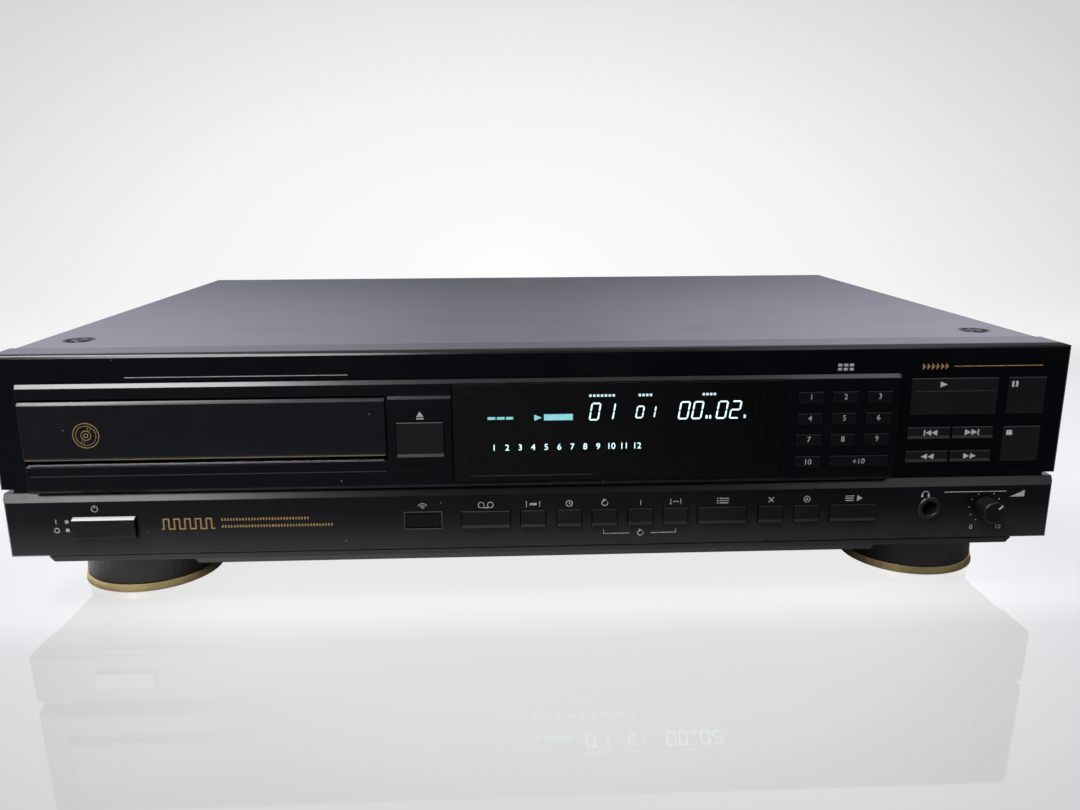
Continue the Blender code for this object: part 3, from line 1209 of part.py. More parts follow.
def turntable():
    """Turntable with its centring cone, on the spindle motor."""
    rest = TURNTABLE_T
    under = rest + TURNTABLE_THICKNESS
    bm = bmesh.new()
    turned(bm, upright(TRAY_X, SPINDLE_D), [
        (rest - CONE_HEIGHT, CONE_RADIUS - CONE_TAPER), (rest, CONE_RADIUS), (rest, TURNTABLE_RADIUS),
        (under, TURNTABLE_RADIUS), (under, HUB_RADIUS), (under + HUB_LENGTH, HUB_RADIUS),
    ])
    piece("turntable", bm, STEEL, at(TRAY_X, SPINDLE_D, rest), smooth=True)


def pickup_sled():
    """Pickup sled that runs on the frame's two rods, with the lens on top."""
    front = SLED_FRONT
    bm = bmesh.new()
    block(bm, about(TRAY_X, SLED_HALF), (front, front + SLED_LENGTH), SLED_T)
    body = piece("pickup_sled", bm, LOADER_BLACK, at(TRAY_X, front, SLED_T[0]))
    bm = bmesh.new()
    turned(bm, upright(TRAY_X, front + LENS_INSET), [
        (SLED_T[0] - LENS_RISE, LENS_RADIUS), (SLED_T[0] + EMBED, LENS_RADIUS),
    ], SMALL_SIDES)
    join(body, bm, "lens")
    bm = bmesh.new()
    for side in (-1, 1):
        turned(bm, facing(TRAY_X + side * ROD_SPREAD, ROD_T), [
            (front - OVERRUN, ROD_RADIUS + CLEAR), (front + SLED_LENGTH + OVERRUN, ROD_RADIUS + CLEAR),
        ], SMALL_SIDES)
    cut(body, bm, "rod_holes")


def clamp_arm():
    """Arm over the tray that carries the clamp puck and pivots in the frame's ears."""
    bm = bmesh.new()
    block(bm, about(TRAY_X, ARM_HALF), (SPINDLE_D - ARM_NOSE, ARM_PIVOT_D), ARM_T)
    body = piece("clamp_arm", bm, STEEL, at(TRAY_X, ARM_PIVOT_D, ARM_PIVOT_T))
    bm = bmesh.new()
    pin = ARM_HALF + EAR_THICKNESS
    turned(bm, crosswise(ARM_PIVOT_D, ARM_PIVOT_T), [
        (TRAY_X - pin, ARM_PIN_RADIUS), (TRAY_X - ARM_HALF, ARM_PIN_RADIUS),
        (TRAY_X - ARM_HALF, ARM_BARREL_RADIUS), (TRAY_X + ARM_HALF, ARM_BARREL_RADIUS),
        (TRAY_X + ARM_HALF, ARM_PIN_RADIUS), (TRAY_X + pin, ARM_PIN_RADIUS),
    ], SMALL_SIDES)
    join(body, bm, "pivot")
    bm = bmesh.new()
    turned(bm, upright(TRAY_X, SPINDLE_D), [
        (ARM_T[0] - OVERRUN, PUCK_NECK_RADIUS + CLEAR), (ARM_T[1] + OVERRUN, PUCK_NECK_RADIUS + CLEAR),
    ], MEDIUM_SIDES)
    cut(body, bm, "puck_hole")


def clamp_puck():
    """Puck that presses the disc onto the turntable and turns with it."""
    cap_under = ARM_T[0] - CLEAR
    shoulder = ARM_T[1] + CLEAR
    cone_room = TURNTABLE_T - CONE_HEIGHT - CLEAR
    bore = CONE_RADIUS + CLEAR
    bm = bmesh.new()
    turned(bm, upright(TRAY_X, SPINDLE_D), [
        (PUCK_TOP, PUCK_CAP_RADIUS), (cap_under, PUCK_CAP_RADIUS), (cap_under, PUCK_NECK_RADIUS),
        (shoulder, PUCK_NECK_RADIUS), (shoulder, PUCK_BODY_RADIUS),
        (PUCK_BOTTOM - PUCK_RIM, PUCK_BODY_RADIUS), (PUCK_BOTTOM - PUCK_RIM, PUCK_RADIUS),
        (PUCK_BOTTOM, PUCK_RADIUS), (PUCK_BOTTOM, bore), (cone_room, bore),
    ])
    piece("clamp_puck", bm, NYLON, at(TRAY_X, SPINDLE_D, ARM_T[0]), smooth=True)


def main_board():
    """Main board on posts from the pan, with its largest parts."""
    bm = bmesh.new()
    block(bm, MAIN_BOARD_X, MAIN_BOARD_D, MAIN_BOARD_T)
    body = piece("main_board", bm, BOARD_TAN)
    bm = bmesh.new()
    for x in grown(MAIN_BOARD_X, -MAIN_POST_INSET):
        for d in grown(MAIN_BOARD_D, -MAIN_POST_INSET):
            leg(bm, x, d, MAIN_BOARD_T[1] - EMBED)
    top = MAIN_BOARD_T[0]
    x = MAIN_BOARD_X[1] - CAPACITOR_INSET
    for index in range(CAPACITOR_COUNT):
        d = MAIN_BOARD_D[1] - CAPACITOR_INSET - CAPACITOR_PITCH * index
        turned(bm, upright(x, d), [
            (top - CAPACITOR_HEIGHT, CAPACITOR_RADIUS), (top + EMBED, CAPACITOR_RADIUS),
        ], SMALL_SIDES)
    d = MAIN_BOARD_D[0] + CHIP_ROW_INSET
    pitch = (MAIN_BOARD_X[1] - MAIN_BOARD_X[0] - CHIP_SIZE) / (CHIP_COUNT + 1)
    for index in range(CHIP_COUNT):
        x = MAIN_BOARD_X[0] + pitch * (index + 1)
        block(bm, about(x, CHIP_SIZE / 2), about(d, CHIP_SIZE / 2), (top - CHIP_HEIGHT, top + EMBED))
    join(body, bm, "parts")


def power_transformer():
    """Mains transformer: laminated core with the winding through it, standing on the pan."""
    bottom = pan_floor(CORE_X[0]) - CLEAR
    bm = bmesh.new()
    block(bm, CORE_X, CORE_D, (bottom - CORE_HEIGHT, bottom))
    body = piece("power_transformer", bm, STEEL)
    bm = bmesh.new()
    block(bm, grown(CORE_X, -COIL_INSET_SIDE), grown(CORE_D, COIL_OVERHANG),
          (bottom - CORE_HEIGHT + COIL_INSET_END, bottom - COIL_INSET_END))
    join(body, bm, "winding")


def build():
    """Clear the scene and build every piece."""
    for old in list(bpy.data.objects):
        bpy.data.objects.remove(old)
    base_pan()
    rear_panel()
    top_cover()
    upper_fascia()
    lower_fascia()
    centre_bezel()
    display_window()
    display_board()
    headphone_jack()
    level_knob()
    power_button()
    keys()
    feet()
    disc_tray()
    tray_door()
    loader_frame()
    loading_gear()
    turntable()
    pickup_sled()
    clamp_arm()
    clamp_puck()
    main_board()
    power_transformer()
    output_jacks()
    mains_inlet()


build()
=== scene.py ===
import math
import bmesh
import bpy
from mathutils import Matrix, Vector


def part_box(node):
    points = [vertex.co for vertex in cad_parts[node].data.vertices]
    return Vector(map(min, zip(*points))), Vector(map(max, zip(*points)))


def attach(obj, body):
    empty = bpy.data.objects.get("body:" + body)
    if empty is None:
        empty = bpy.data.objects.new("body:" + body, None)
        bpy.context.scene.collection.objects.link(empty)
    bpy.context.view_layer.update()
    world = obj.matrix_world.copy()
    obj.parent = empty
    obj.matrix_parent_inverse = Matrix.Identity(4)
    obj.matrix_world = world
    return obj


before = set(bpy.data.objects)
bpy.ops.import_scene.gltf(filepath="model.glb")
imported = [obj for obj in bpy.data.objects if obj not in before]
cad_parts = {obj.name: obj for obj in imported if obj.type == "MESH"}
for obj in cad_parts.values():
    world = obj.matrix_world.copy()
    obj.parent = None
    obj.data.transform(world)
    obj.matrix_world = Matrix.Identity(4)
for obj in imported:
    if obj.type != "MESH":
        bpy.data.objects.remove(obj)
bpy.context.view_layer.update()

# Camera. It stands in front of the player, a little left of its middle, and looks
# down on the front panel at about fourteen degrees, as a person at a table does.
CAMERA_PLACE = Vector((-0.0140, -0.49675, 0.1714))
CAMERA_DOWN = math.radians(13.84)
CAMERA_TURN = math.radians(-2.33)
CAMERA_ROLL = math.radians(-0.26)
CAMERA_LENS = 29.80

look = Vector((
    -math.sin(CAMERA_TURN) * math.cos(CAMERA_DOWN),
    math.cos(CAMERA_TURN) * math.cos(CAMERA_DOWN),
    -math.sin(CAMERA_DOWN)))
level = Vector((math.cos(CAMERA_TURN), math.sin(CAMERA_TURN), 0))
upright = level.cross(look)
right = level * math.cos(CAMERA_ROLL) + upright * math.sin(CAMERA_ROLL)
up = upright * math.cos(CAMERA_ROLL) - level * math.sin(CAMERA_ROLL)
camera = bpy.data.objects.new("camera", bpy.data.cameras.new("camera"))
camera.data.sensor_width = 36
camera.data.lens = CAMERA_LENS
camera.data.clip_start = 0.01
camera.matrix_world = Matrix((
    (right.x, up.x, -look.x, CAMERA_PLACE.x),
    (right.y, up.y, -look.y, CAMERA_PLACE.y),
    (right.z, up.z, -look.z, CAMERA_PLACE.z),
    (0, 0, 0, 1)))
bpy.context.collection.objects.link(camera)
bpy.context.scene.camera = camera
bpy.context.scene.view_settings.view_transform = "Standard"

# Table and backdrop. One pale sheet lies under the player and sweeps up behind it. It is glossy near the
# player, so the front shows as a mirror image in it, and plain white further off. Much of its colour is
# painted light: a glow that rises towards the player and pales its shadow, a backdrop brightest in its
# middle, a bright patch under the player that only light rays see, and a backdrop in reflections that is
# darker low down and tinted blue.
TABLE_DIFFUSE = 0.085
TABLE_PAINTED_GLOW = ((0.0, 0.57), (0.55, 0.60), (0.72, 0.63), (0.90, 0.78), (1.0, 0.80))
TABLE_PAINTED_BOUNCE = ((0.0, (0.09, 0.09, 0.10, 1)), (0.45, (0.11, 0.11, 0.12, 1)), (1.0, (0.72, 0.72, 0.72, 1)))
SWEEP_START = 0.75
SWEEP_RADIUS = 0.45
SWEEP_TOP = 2.4
TABLE_FRONT = -2.5
TABLE_HALF = 3.0
BACKDROP_PAINTED_FALLOFF = ((0.0, 0.985), (0.30, 0.90), (0.45, 0.80), (0.66, 0.66), (1.0, 0.55))
PAINTED_REFLECTION_TONES = ((0.0, 0.10), (0.26, 0.15), (0.335, 0.47), (0.43, 0.60), (0.62, 0.95))


def put(tree, kind, values=(), **settings):
    """Adds a shader node. Its settings are set by name, and an input is linked or set to a value."""
    made = tree.nodes.new(kind)
    for name, value in settings.items():
        setattr(made, name, value)
    for name, value in dict(values).items():
        if isinstance(value, bpy.types.NodeSocket):
            tree.links.new(value, made.inputs[name])
        else:
            made.inputs[name].default_value = value
    return made


def tones(tree, factor, stops):
    """A ramp of greys or colours over a factor."""
    ramp = put(tree, "ShaderNodeValToRGB", {"Fac": factor})
    points = ramp.color_ramp.elements
    while len(points) < len(stops):
        points.new(0.5)
    for point, (place, tone) in zip(points, stops):
        point.position = place
        point.color = tone if isinstance(tone, tuple) else (tone, tone, tone, 1)
    return ramp.outputs["Color"]


def new_material(name):
    """An empty material with its output node, and its node tree."""
    material = bpy.data.materials.new(name)
    material.use_nodes = True
    material.node_tree.nodes.clear()
    return material, material.node_tree


sheet_material, tree = new_material("pale_table")
place = put(tree, "ShaderNodeTexCoord").outputs["Object"]
parts = put(tree, "ShaderNodeSeparateXYZ", {"Vector": place})
# Painted light: the backdrop is brightest in a pool at its middle and darker towards its edges.
light_pool_reach = put(tree, "ShaderNodeVectorMath", {0: place, 1: (0.52, 0.0, 1.0)}, operation="MULTIPLY")
light_pool_reach = put(tree, "ShaderNodeVectorMath", {0: light_pool_reach.outputs[0], 1: (0.0, 0.0, 0.03)}, operation="SUBTRACT")
light_pool_reach = put(tree, "ShaderNodeVectorMath", {0: light_pool_reach.outputs[0]}, operation="LENGTH")
backdrop = tones(tree, light_pool_reach.outputs["Value"], BACKDROP_PAINTED_FALLOFF)
# Painted light: the glow seen by the camera rises towards the player and peaks in a pool round it, paling the
# shadow under it.
depth = put(tree, "ShaderNodeMapRange", {"Value": parts.outputs["Y"], "From Min": -0.29, "From Max": -0.14})
painted_table_light = tones(tree, depth.outputs[0], TABLE_PAINTED_GLOW)
painted_light_pool = put(tree, "ShaderNodeVectorMath", {0: place, 1: (0.01, -0.10, 0.0)}, operation="SUBTRACT")
painted_light_pool = put(tree, "ShaderNodeVectorMath", {0: painted_light_pool.outputs[0]}, operation="LENGTH")
painted_light_pool = put(tree, "ShaderNodeMapRange",
    {"Value": painted_light_pool.outputs["Value"], "From Min": 0.13, "From Max": 0.27, "To Min": 1.0, "To Max": 0.70},
    interpolation_type="SMOOTHSTEP")
painted_table_light = put(tree, "ShaderNodeMix", {6: painted_table_light, 7: painted_light_pool.outputs[0], "Factor": 1.0}, data_type="RGBA",
    blend_type="MULTIPLY")
seen = put(tree, "ShaderNodeBsdfPrincipled", {
    "Base Color": (TABLE_DIFFUSE, TABLE_DIFFUSE, TABLE_DIFFUSE, 1), "Roughness": 0.035, "IOR": 1.62,
    "Emission Color": painted_table_light.outputs[2], "Emission Strength": 1.0})
# Painted light and shade bounced onto the player: light rays see a bright patch under it, dark floor in front
# of it, and more shade towards the right.
painted_bright_under = put(tree, "ShaderNodeMapRange",
    {"Value": parts.outputs["Y"], "From Min": -0.27, "From Max": -0.17})
painted_shade_right = put(tree, "ShaderNodeMapRange",
    {"Value": parts.outputs["X"], "From Min": -0.14, "From Max": 0.16, "To Min": 1.0, "To Max": 0.42})
painted_bounce = put(tree, "ShaderNodeMix",
    {6: tones(tree, painted_bright_under.outputs[0], TABLE_PAINTED_BOUNCE), 7: painted_shade_right.outputs[0], "Factor": 1.0},
    data_type="RGBA", blend_type="MULTIPLY")
painted_bounce = put(tree, "ShaderNodeBsdfDiffuse", {"Color": painted_bounce.outputs[2]})
path = put(tree, "ShaderNodeLightPath")
near = put(tree, "ShaderNodeMixShader",
    {0: path.outputs["Is Camera Ray"], 1: painted_bounce.outputs[0], 2: seen.outputs[0]})
# Painted reflection: in glossy rays the backdrop is darker low down, brighter out to the sides and tinted
# blue.
painted_reflection_by_height = put(tree, "ShaderNodeMapRange", {"Value": parts.outputs["Z"], "From Min": 0.0, "From Max": 0.8})
painted_reflection_by_height = tones(tree, painted_reflection_by_height.outputs[0], PAINTED_REFLECTION_TONES)
painted_reflection_by_side = put(tree, "ShaderNodeMath", {0: parts.outputs["X"]}, operation="ABSOLUTE")
painted_reflection_by_side = put(tree, "ShaderNodeMapRange",
    {"Value": painted_reflection_by_side.outputs[0], "From Min": 0.10, "From Max": 0.85, "To Min": 1.0, "To Max": 1.95})
painted_reflection_colour = put(tree, "ShaderNodeMix", {6: painted_reflection_by_height, 7: painted_reflection_by_side.outputs[0], "Factor": 1.0}, data_type="RGBA",
    blend_type="MULTIPLY")
painted_reflection_colour = put(tree, "ShaderNodeMix", {6: painted_reflection_colour.outputs[2], 7: (0.94, 0.95, 1.12, 1), "Factor": 1.0},
    data_type="RGBA", blend_type="MULTIPLY")
painted_reflection_colour = put(tree, "ShaderNodeMix", {6: painted_reflection_colour.outputs[2], 7: backdrop, "Factor": 1.0}, data_type="RGBA",
    blend_type="MULTIPLY")
backdrop = put(tree, "ShaderNodeMix",
    {6: backdrop, 7: painted_reflection_colour.outputs[2], "Factor": path.outputs["Is Glossy Ray"]}, data_type="RGBA")
glow = put(tree, "ShaderNodeEmission", {"Color": backdrop.outputs[2], "Strength": 1.0})
shown = put(tree, "ShaderNodeMath", {0: path.outputs["Is Camera Ray"], 1: path.outputs["Is Glossy Ray"]},
    operation="MAXIMUM")
shown = put(tree, "ShaderNodeMath", {0: shown.outputs[0], 1: path.outputs["Is Transmission Ray"]},
    operation="MAXIMUM")
far_off = put(tree, "ShaderNodeMapRange", {"Value": parts.outputs["Y"], "From Min": 0.18, "From Max": 0.55},
    interpolation_type="SMOOTHSTEP")
far_off = put(tree, "ShaderNodeMath", {0: far_off.outputs[0], 1: shown.outputs[0]}, operation="MULTIPLY")
whole = put(tree, "ShaderNodeMixShader", {0: far_off.outputs[0], 1: near.outputs[0], 2: glow.outputs[0]})
put(tree, "ShaderNodeOutputMaterial", {"Surface": whole.outputs[0]})

bend = [(SWEEP_START + SWEEP_RADIUS * math.sin(a), SWEEP_RADIUS * (1 - math.cos(a)))
        for a in [math.radians(step * 7.5) for step in range(13)]]
outline = [(TABLE_FRONT, 0)] + bend + [(SWEEP_START + SWEEP_RADIUS, SWEEP_TOP)]
bm = bmesh.new()
rows = [[bm.verts.new((side * TABLE_HALF, y, z)) for side in (-1, 1)] for y, z in outline]
for near_row, far_row in zip(rows, rows[1:]):
    bm.faces.new((near_row[0], near_row[1], far_row[1], far_row[0]))
table_mesh = bpy.data.meshes.new("table_and_backdrop")
bm.to_mesh(table_mesh)
bm.free()
for face in table_mesh.polygons:
    face.use_smooth = True
table_mesh.materials.append(sheet_material)
table = bpy.data.objects.new("table_and_backdrop", table_mesh)
bpy.context.collection.objects.link(table)

# Light. Two soft boxes hang over the front edge and two low ones stand far out at the sides,
# the left ones brighter, and a wide weak one hangs over it all. The room is dim behind the viewer.
SOFT_BOXES = (
    ("left_box", (-0.55, -0.43, 1.15), (0.90, 0.34), 20),
    ("right_box", (0.62, -0.43, 1.15), (0.60, 0.30), 1.2),
    ("low_left_box", (-0.86, -1.42, 0.98), (0.46, 0.46), 9),
    ("low_right_box", (0.90, -1.42, 0.98), (0.60, 0.46), 1.2),
    ("wide_box", (0.0, 0.10, 1.9), (2.2, 1.6), 6),
)
for name, spot, size, power in SOFT_BOXES:
    lamp = bpy.data.lights.new(name, "AREA")
    lamp.shape = "RECTANGLE"
    lamp.size, lamp.size_y = size
    lamp.energy = power
    holder = bpy.data.objects.new(name, lamp)
    holder.location = spot
    holder.rotation_euler = (Vector((0, 0, 0.05)) - Vector(spot)).to_track_quat("-Z", "Y").to_euler()
    bpy.context.collection.objects.link(holder)

world = bpy.data.worlds.new("room")
bpy.context.scene.world = world
world.use_nodes = True
tree = world.node_tree
tree.nodes.clear()
heading = put(tree, "ShaderNodeTexCoord").outputs["Generated"]
parts = put(tree, "ShaderNodeSeparateXYZ", {"Vector": heading})
behind = put(tree, "ShaderNodeMapRange",
    {"Value": parts.outputs["Y"], "From Min": -0.45, "From Max": 0.25, "To Min": 0.06, "To Max": 0.50},
    interpolation_type="SMOOTHSTEP")
above = put(tree, "ShaderNodeMapRange",
    {"Value": parts.outputs["Z"], "From Min": 0.15, "From Max": 0.9, "To Min": 0.0, "To Max": 0.25},
    interpolation_type="SMOOTHSTEP")
room = put(tree, "ShaderNodeMath", {0: behind.outputs[0], 1: above.outputs[0]}, operation="ADD")
path = put(tree, "ShaderNodeLightPath")
strength = put(tree, "ShaderNodeMix", {"Factor": path.outputs["Is Camera Ray"], 2: room.outputs[0], 3: 0.97},
    data_type="FLOAT")
air = put(tree, "ShaderNodeBackground", {"Color": (0.985, 0.985, 1.0, 1), "Strength": strength.outputs[0]})
put(tree, "ShaderNodeOutputWorld", {"Surface": air.outputs[0]})

# Base pan. It is folded and pressed from black painted steel sheet: a shallow tray whose floor
# steps down twice, so that its lip shows as a dark line under the front panel.
MM = 0.001
PAINT_BLACK = (0.0075, 0.0075, 0.0085, 1)


def group(name, inputs, outputs):
    """A shader node group with named sockets. Returns the group, its entry and its exit."""
    made = bpy.data.node_groups.new(name, "ShaderNodeTree")
    for label, kind, value in inputs:
        socket = made.interface.new_socket(label, in_out="INPUT", socket_type=kind)
        socket.default_value = value
    for label, kind in outputs:
        made.interface.new_socket(label, in_out="OUTPUT", socket_type=kind)
    return made, made.nodes.new("NodeGroupInput").outputs, made.nodes.new("NodeGroupOutput")


handled, given, result = group(
    "handled_surface",
    (("Colour", "NodeSocketColor", (0.01, 0.01, 0.01, 1)), ("Roughness", "NodeSocketFloat", 0.3),
     ("Grain", "NodeSocketFloat", 900), ("Smears", "NodeSocketFloat", 0.3), ("Dust", "NodeSocketFloat", 0.3)),
    (("Colour", "NodeSocketColor"), ("Roughness", "NodeSocketFloat"), ("Height", "NodeSocketFloat")))
place = put(handled, "ShaderNodeTexCoord").outputs["Object"]
grain = put(handled, "ShaderNodeTexNoise", {"Vector": place, "Scale": given["Grain"], "Detail": 2.0})
smear = put(handled, "ShaderNodeTexNoise",
    {"Vector": place, "Scale": 17.0, "Detail": 5.0, "Roughness": 0.6, "Distortion": 0.9})
smear = put(handled, "ShaderNodeMapRange",
    {"Value": smear.outputs["Fac"], "From Min": 0.45, "From Max": 0.72}, interpolation_type="SMOOTHSTEP")
smear = put(handled, "ShaderNodeMath", {0: smear.outputs[0], 1: given["Smears"]}, operation="MULTIPLY")
speck = put(handled, "ShaderNodeTexVoronoi", {"Vector": place, "Scale": 150.0})
small = put(handled, "ShaderNodeMath", {0: speck.outputs["Distance"], 1: 0.045}, operation="LESS_THAN")
rare = put(handled, "ShaderNodeSeparateXYZ", {"Vector": speck.outputs["Color"]})
rare = put(handled, "ShaderNodeMath", {0: rare.outputs["X"], 1: 0.86}, operation="GREATER_THAN")
speck = put(handled, "ShaderNodeMath", {0: small.outputs[0], 1: rare.outputs[0]}, operation="MULTIPLY")
speck = put(handled, "ShaderNodeMath", {0: speck.outputs[0], 1: given["Dust"]}, operation="MULTIPLY")
dull = put(handled, "ShaderNodeMath", {0: smear.outputs[0], 1: 0.05}, operation="MULTIPLY")
smeared = put(handled, "ShaderNodeMix",
    {"Factor": dull.outputs[0], 6: given["Colour"], 7: (0.20, 0.19, 0.18, 1)}, data_type="RGBA")
dusty = put(handled, "ShaderNodeMix",
    {"Factor": speck.outputs[0], 6: smeared.outputs[2], 7: (0.45, 0.44, 0.42, 1)}, data_type="RGBA")
handled.links.new(dusty.outputs[2], result.inputs["Colour"])
rough = put(handled, "ShaderNodeMath", {0: smear.outputs[0], 1: 0.16, 2: given["Roughness"]},
    operation="MULTIPLY_ADD")
rough = put(handled, "ShaderNodeMath", {0: speck.outputs[0], 1: 0.4, 2: rough.outputs[0]},
    operation="MULTIPLY_ADD")
handled.links.new(rough.outputs[0], result.inputs["Roughness"])
handled.links.new(grain.outputs["Fac"], result.inputs["Height"])


def surface(name, colour, roughness, grain=900, smears=0.3, dust=0.3, bump=0.04, metallic=0.0, specular=0.5,
            coat=0.0, soften=0.25, layer=None, roll=None):
    """A painted, moulded or metal surface with grain, smears, dust and softened edges."""
    material, tree = new_material(name)
    handled_node = put(tree, "ShaderNodeGroup", node_tree=handled)
    for label, value in (("Colour", colour), ("Roughness", roughness), ("Grain", grain), ("Smears", smears),
            ("Dust", dust)):
        handled_node.inputs[label].default_value = value
    tint = handled_node.outputs["Colour"]
    if layer:
        tint = layer(tree, tint)
    eased = put(tree, "ShaderNodeBevel", {"Radius": soften * MM}, samples=4).outputs[0]
    if roll:
        eased = roll(tree, eased)
    relief = put(tree, "ShaderNodeBump", {
        "Strength": bump, "Distance": 0.0002, "Height": handled_node.outputs["Height"], "Normal": eased})
    shader = put(tree, "ShaderNodeBsdfPrincipled", {
        "Base Color": tint, "Roughness": handled_node.outputs["Roughness"], "Metallic": metallic,
        "Specular IOR Level": specular, "Coat Weight": coat, "Coat Roughness": 0.12,
        "Normal": relief.outputs[0]})
    put(tree, "ShaderNodeOutputMaterial", {"Surface": shader.outputs[0]})
    return material


def dress(material, *nodes):
    """Gives CAD nodes their material."""
    for node in nodes:
        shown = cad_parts[node]
        shown.data.materials.clear()
        shown.data.materials.append(material)


dress(surface("pan_paint", PAINT_BLACK, 0.34, grain=2200, smears=0.5, dust=0.8, bump=0.10, specular=0.75),
    "base_pan")

# Feet. Each is a black moulded drum screwed up through the pan, with a plated gold ring
# pressed on near its lower edge.
FOOT_BLACK = (0.018, 0.017, 0.016, 1)
RING_GOLD = (0.74, 0.58, 0.28, 1)
FEET = ("front_left", "front_right", "rear_left", "rear_right")
dress(surface("foot_moulding", FOOT_BLACK, 0.40, grain=1500, smears=0.5, dust=0.6, bump=0.10),
    *["foot_" + foot for foot in FEET])
dress(surface("gold_plating", RING_GOLD, 0.30, grain=3000, smears=0.5, dust=0.4, bump=0.02, metallic=1.0),
    *["foot_ring_" + foot for foot in FEET])

# Rear panel. It is the same painted sheet as the cover, screwed to the pan and the cover's
# rear edge, and punched for the output jacks and the mains inlet.
SCREW_BLACK = (0.012, 0.012, 0.013, 1)
FRONT_FACE = 147.25
TOP_EDGE = 107


def at(x, d, t):
    """A point in panel terms, in mm: x to the right, d behind the front face, t below the top edge."""
    return Vector((x, d - FRONT_FACE, TOP_EDGE - t)) * MM


def lathe(bm, place, profile, sides=28, outline=None):
    """Turned shape. place(a, b, along) puts a point, and profile lists (along, radius).

    A ring with a third entry follows the outline."""
    rings = []
    for along, radius, shaped in [(p[0], p[1], len(p) > 2) for p in profile]:
        ring = []
        for step in range(sides):
            angle = 2 * math.pi * (step + 0.5) / sides
            reach = radius * (outline(angle) if shaped else 1)
            ring.append(bm.verts.new(place(reach * math.cos(angle), reach * math.sin(angle), along)))
        rings.append(ring)
    for one, two in zip(rings, rings[1:]):
        for step in range(sides):
            after = (step + 1) % sides
            bm.faces.new((one[step], one[after], two[after], two[step]))
    bm.faces.new(rings[0])
    bm.faces.new(rings[-1][::-1])


def made(name, bm, material, body, slot, smooth=False):
    """Turns the built mesh into a piece that rides on a body."""
    bmesh.ops.recalc_face_normals(bm, faces=bm.faces)
    mesh = bpy.data.meshes.new(name)
    bm.to_mesh(mesh)
    bm.free()
    mesh.materials.append(material)
    piece = bpy.data.objects.new(name, mesh)
    bpy.context.collection.objects.link(piece)
    if smooth:
        for face in mesh.polygons:
            face.use_smooth = True
        mesh.set_sharp_from_angle(angle=math.radians(38))
    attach(piece, body)
    return piece


def cross(angle):
    """How far a cross-shaped driver recess reaches at an angle, as a share of its arm."""
    c, s = abs(math.cos(angle)), abs(math.sin(angle))
    arm = 0.30
    return max(min(1 / max(c, 1e-6), arm / max(s, 1e-6)), min(1 / max(s, 1e-6), arm / max(c, 1e-6)))


def pan_head(bm, place, radius, height):
    """A pan-head screw with a cross recess, its seat at 0 along the placing function."""
    lathe(bm, place, (
        (0, radius), (height * 0.45, radius), (height * 0.75, radius * 0.93), (height * 0.93, radius * 0.76),
        (height, radius * 0.56), (height, radius * 0.50, 1), (height * 0.35, radius * 0.36, 1)),
        outline=cross)


screw_paint = surface("screw_finish", SCREW_BLACK, 0.30, grain=2500, smears=0.2, dust=0.5, bump=0.03,
    metallic=0.4, specular=0.5)
dress(surface("rear_paint", PAINT_BLACK, 0.36, grain=2200, smears=0.4, dust=0.6, bump=0.10), "rear_panel")
REAR_SCREWS = ((-200, 10), (-100, 10), (100, 10), (200, 10), (-200, 74), (-70, 74), (70, 74), (200, 74))
bm = bmesh.new()
for x, t in REAR_SCREWS:
    pan_head(bm, lambda a, b, along: at(x + a, 292.5 + along, t + b), 2.9, 1.4)
made("rear_screws", bm, screw_paint, "chassis", "screw_black", smooth=True)

# Output jacks and mains inlet. The jacks are a black moulded block with two sockets, each with
# a coloured insert, the inlet a black moulded housing with two pins, both on the rear panel.
JACK_COLOURS = ((-22, (0.75, 0.74, 0.72, 1), "left"), (-2, (0.45, 0.02, 0.02, 1), "right"))
moulded = surface("black_moulding", (0.012, 0.012, 0.013, 1), 0.38, grain=1800, smears=0.2, dust=0.4,
    bump=0.08)
dress(moulded, "mains_inlet", "output_jacks")
for x, colour, side in JACK_COLOURS:
    bm = bmesh.new()
    ring = surface("jack_insert_" + side, colour, 0.35, grain=2000, smears=0.1, dust=0.2)
    inner, outer, front, back = 2.2, 3.5, 302.3, 299.5
    rows = []
    for radius, d in ((outer, back), (outer, front), (inner, front), (inner, back)):
        rows.append([bm.verts.new(at(x + radius * math.cos(a), d, 40 + radius * math.sin(a)))
                     for a in [2 * math.pi * step / 32 for step in range(32)]])
    for one, two in zip(rows, rows[1:] + rows[:1]):
        for step in range(32):
            bm.faces.new((one[step], one[(step + 1) % 32], two[(step + 1) % 32], two[step]))
    made("jack_insert_" + side, bm, ring, "chassis", "black_moulding", smooth=True)

# Main board and power transformer. The board is a brown phenolic plate with its capacitors and
# chips, the transformer a stack of steel laminations round a wound coil.
def component_tones(tree, tint):
    """Board below, darker cans and chips above it."""
    height = put(tree, "ShaderNodeSeparateXYZ", {"Vector": put(tree, "ShaderNodeTexCoord").outputs["Object"]})
    raised = put(tree, "ShaderNodeMath", {0: height.outputs["Z"], 1: 0.0318}, operation="GREATER_THAN")
    return put(tree, "ShaderNodeMix", {"Factor": raised.outputs[0], 6: tint, 7: (0.015, 0.016, 0.022, 1)},
        data_type="RGBA").outputs[2]


dress(surface("phenolic_board", (0.17, 0.095, 0.035, 1), 0.5, grain=700, smears=0.6, dust=0.6, bump=0.08,
    layer=component_tones), "main_board")
dress(surface("lamination_steel", (0.20, 0.19, 0.18, 1), 0.42, grain=1200, smears=0.5, dust=0.4, bump=0.08,
    metallic=0.8), "power_transformer")

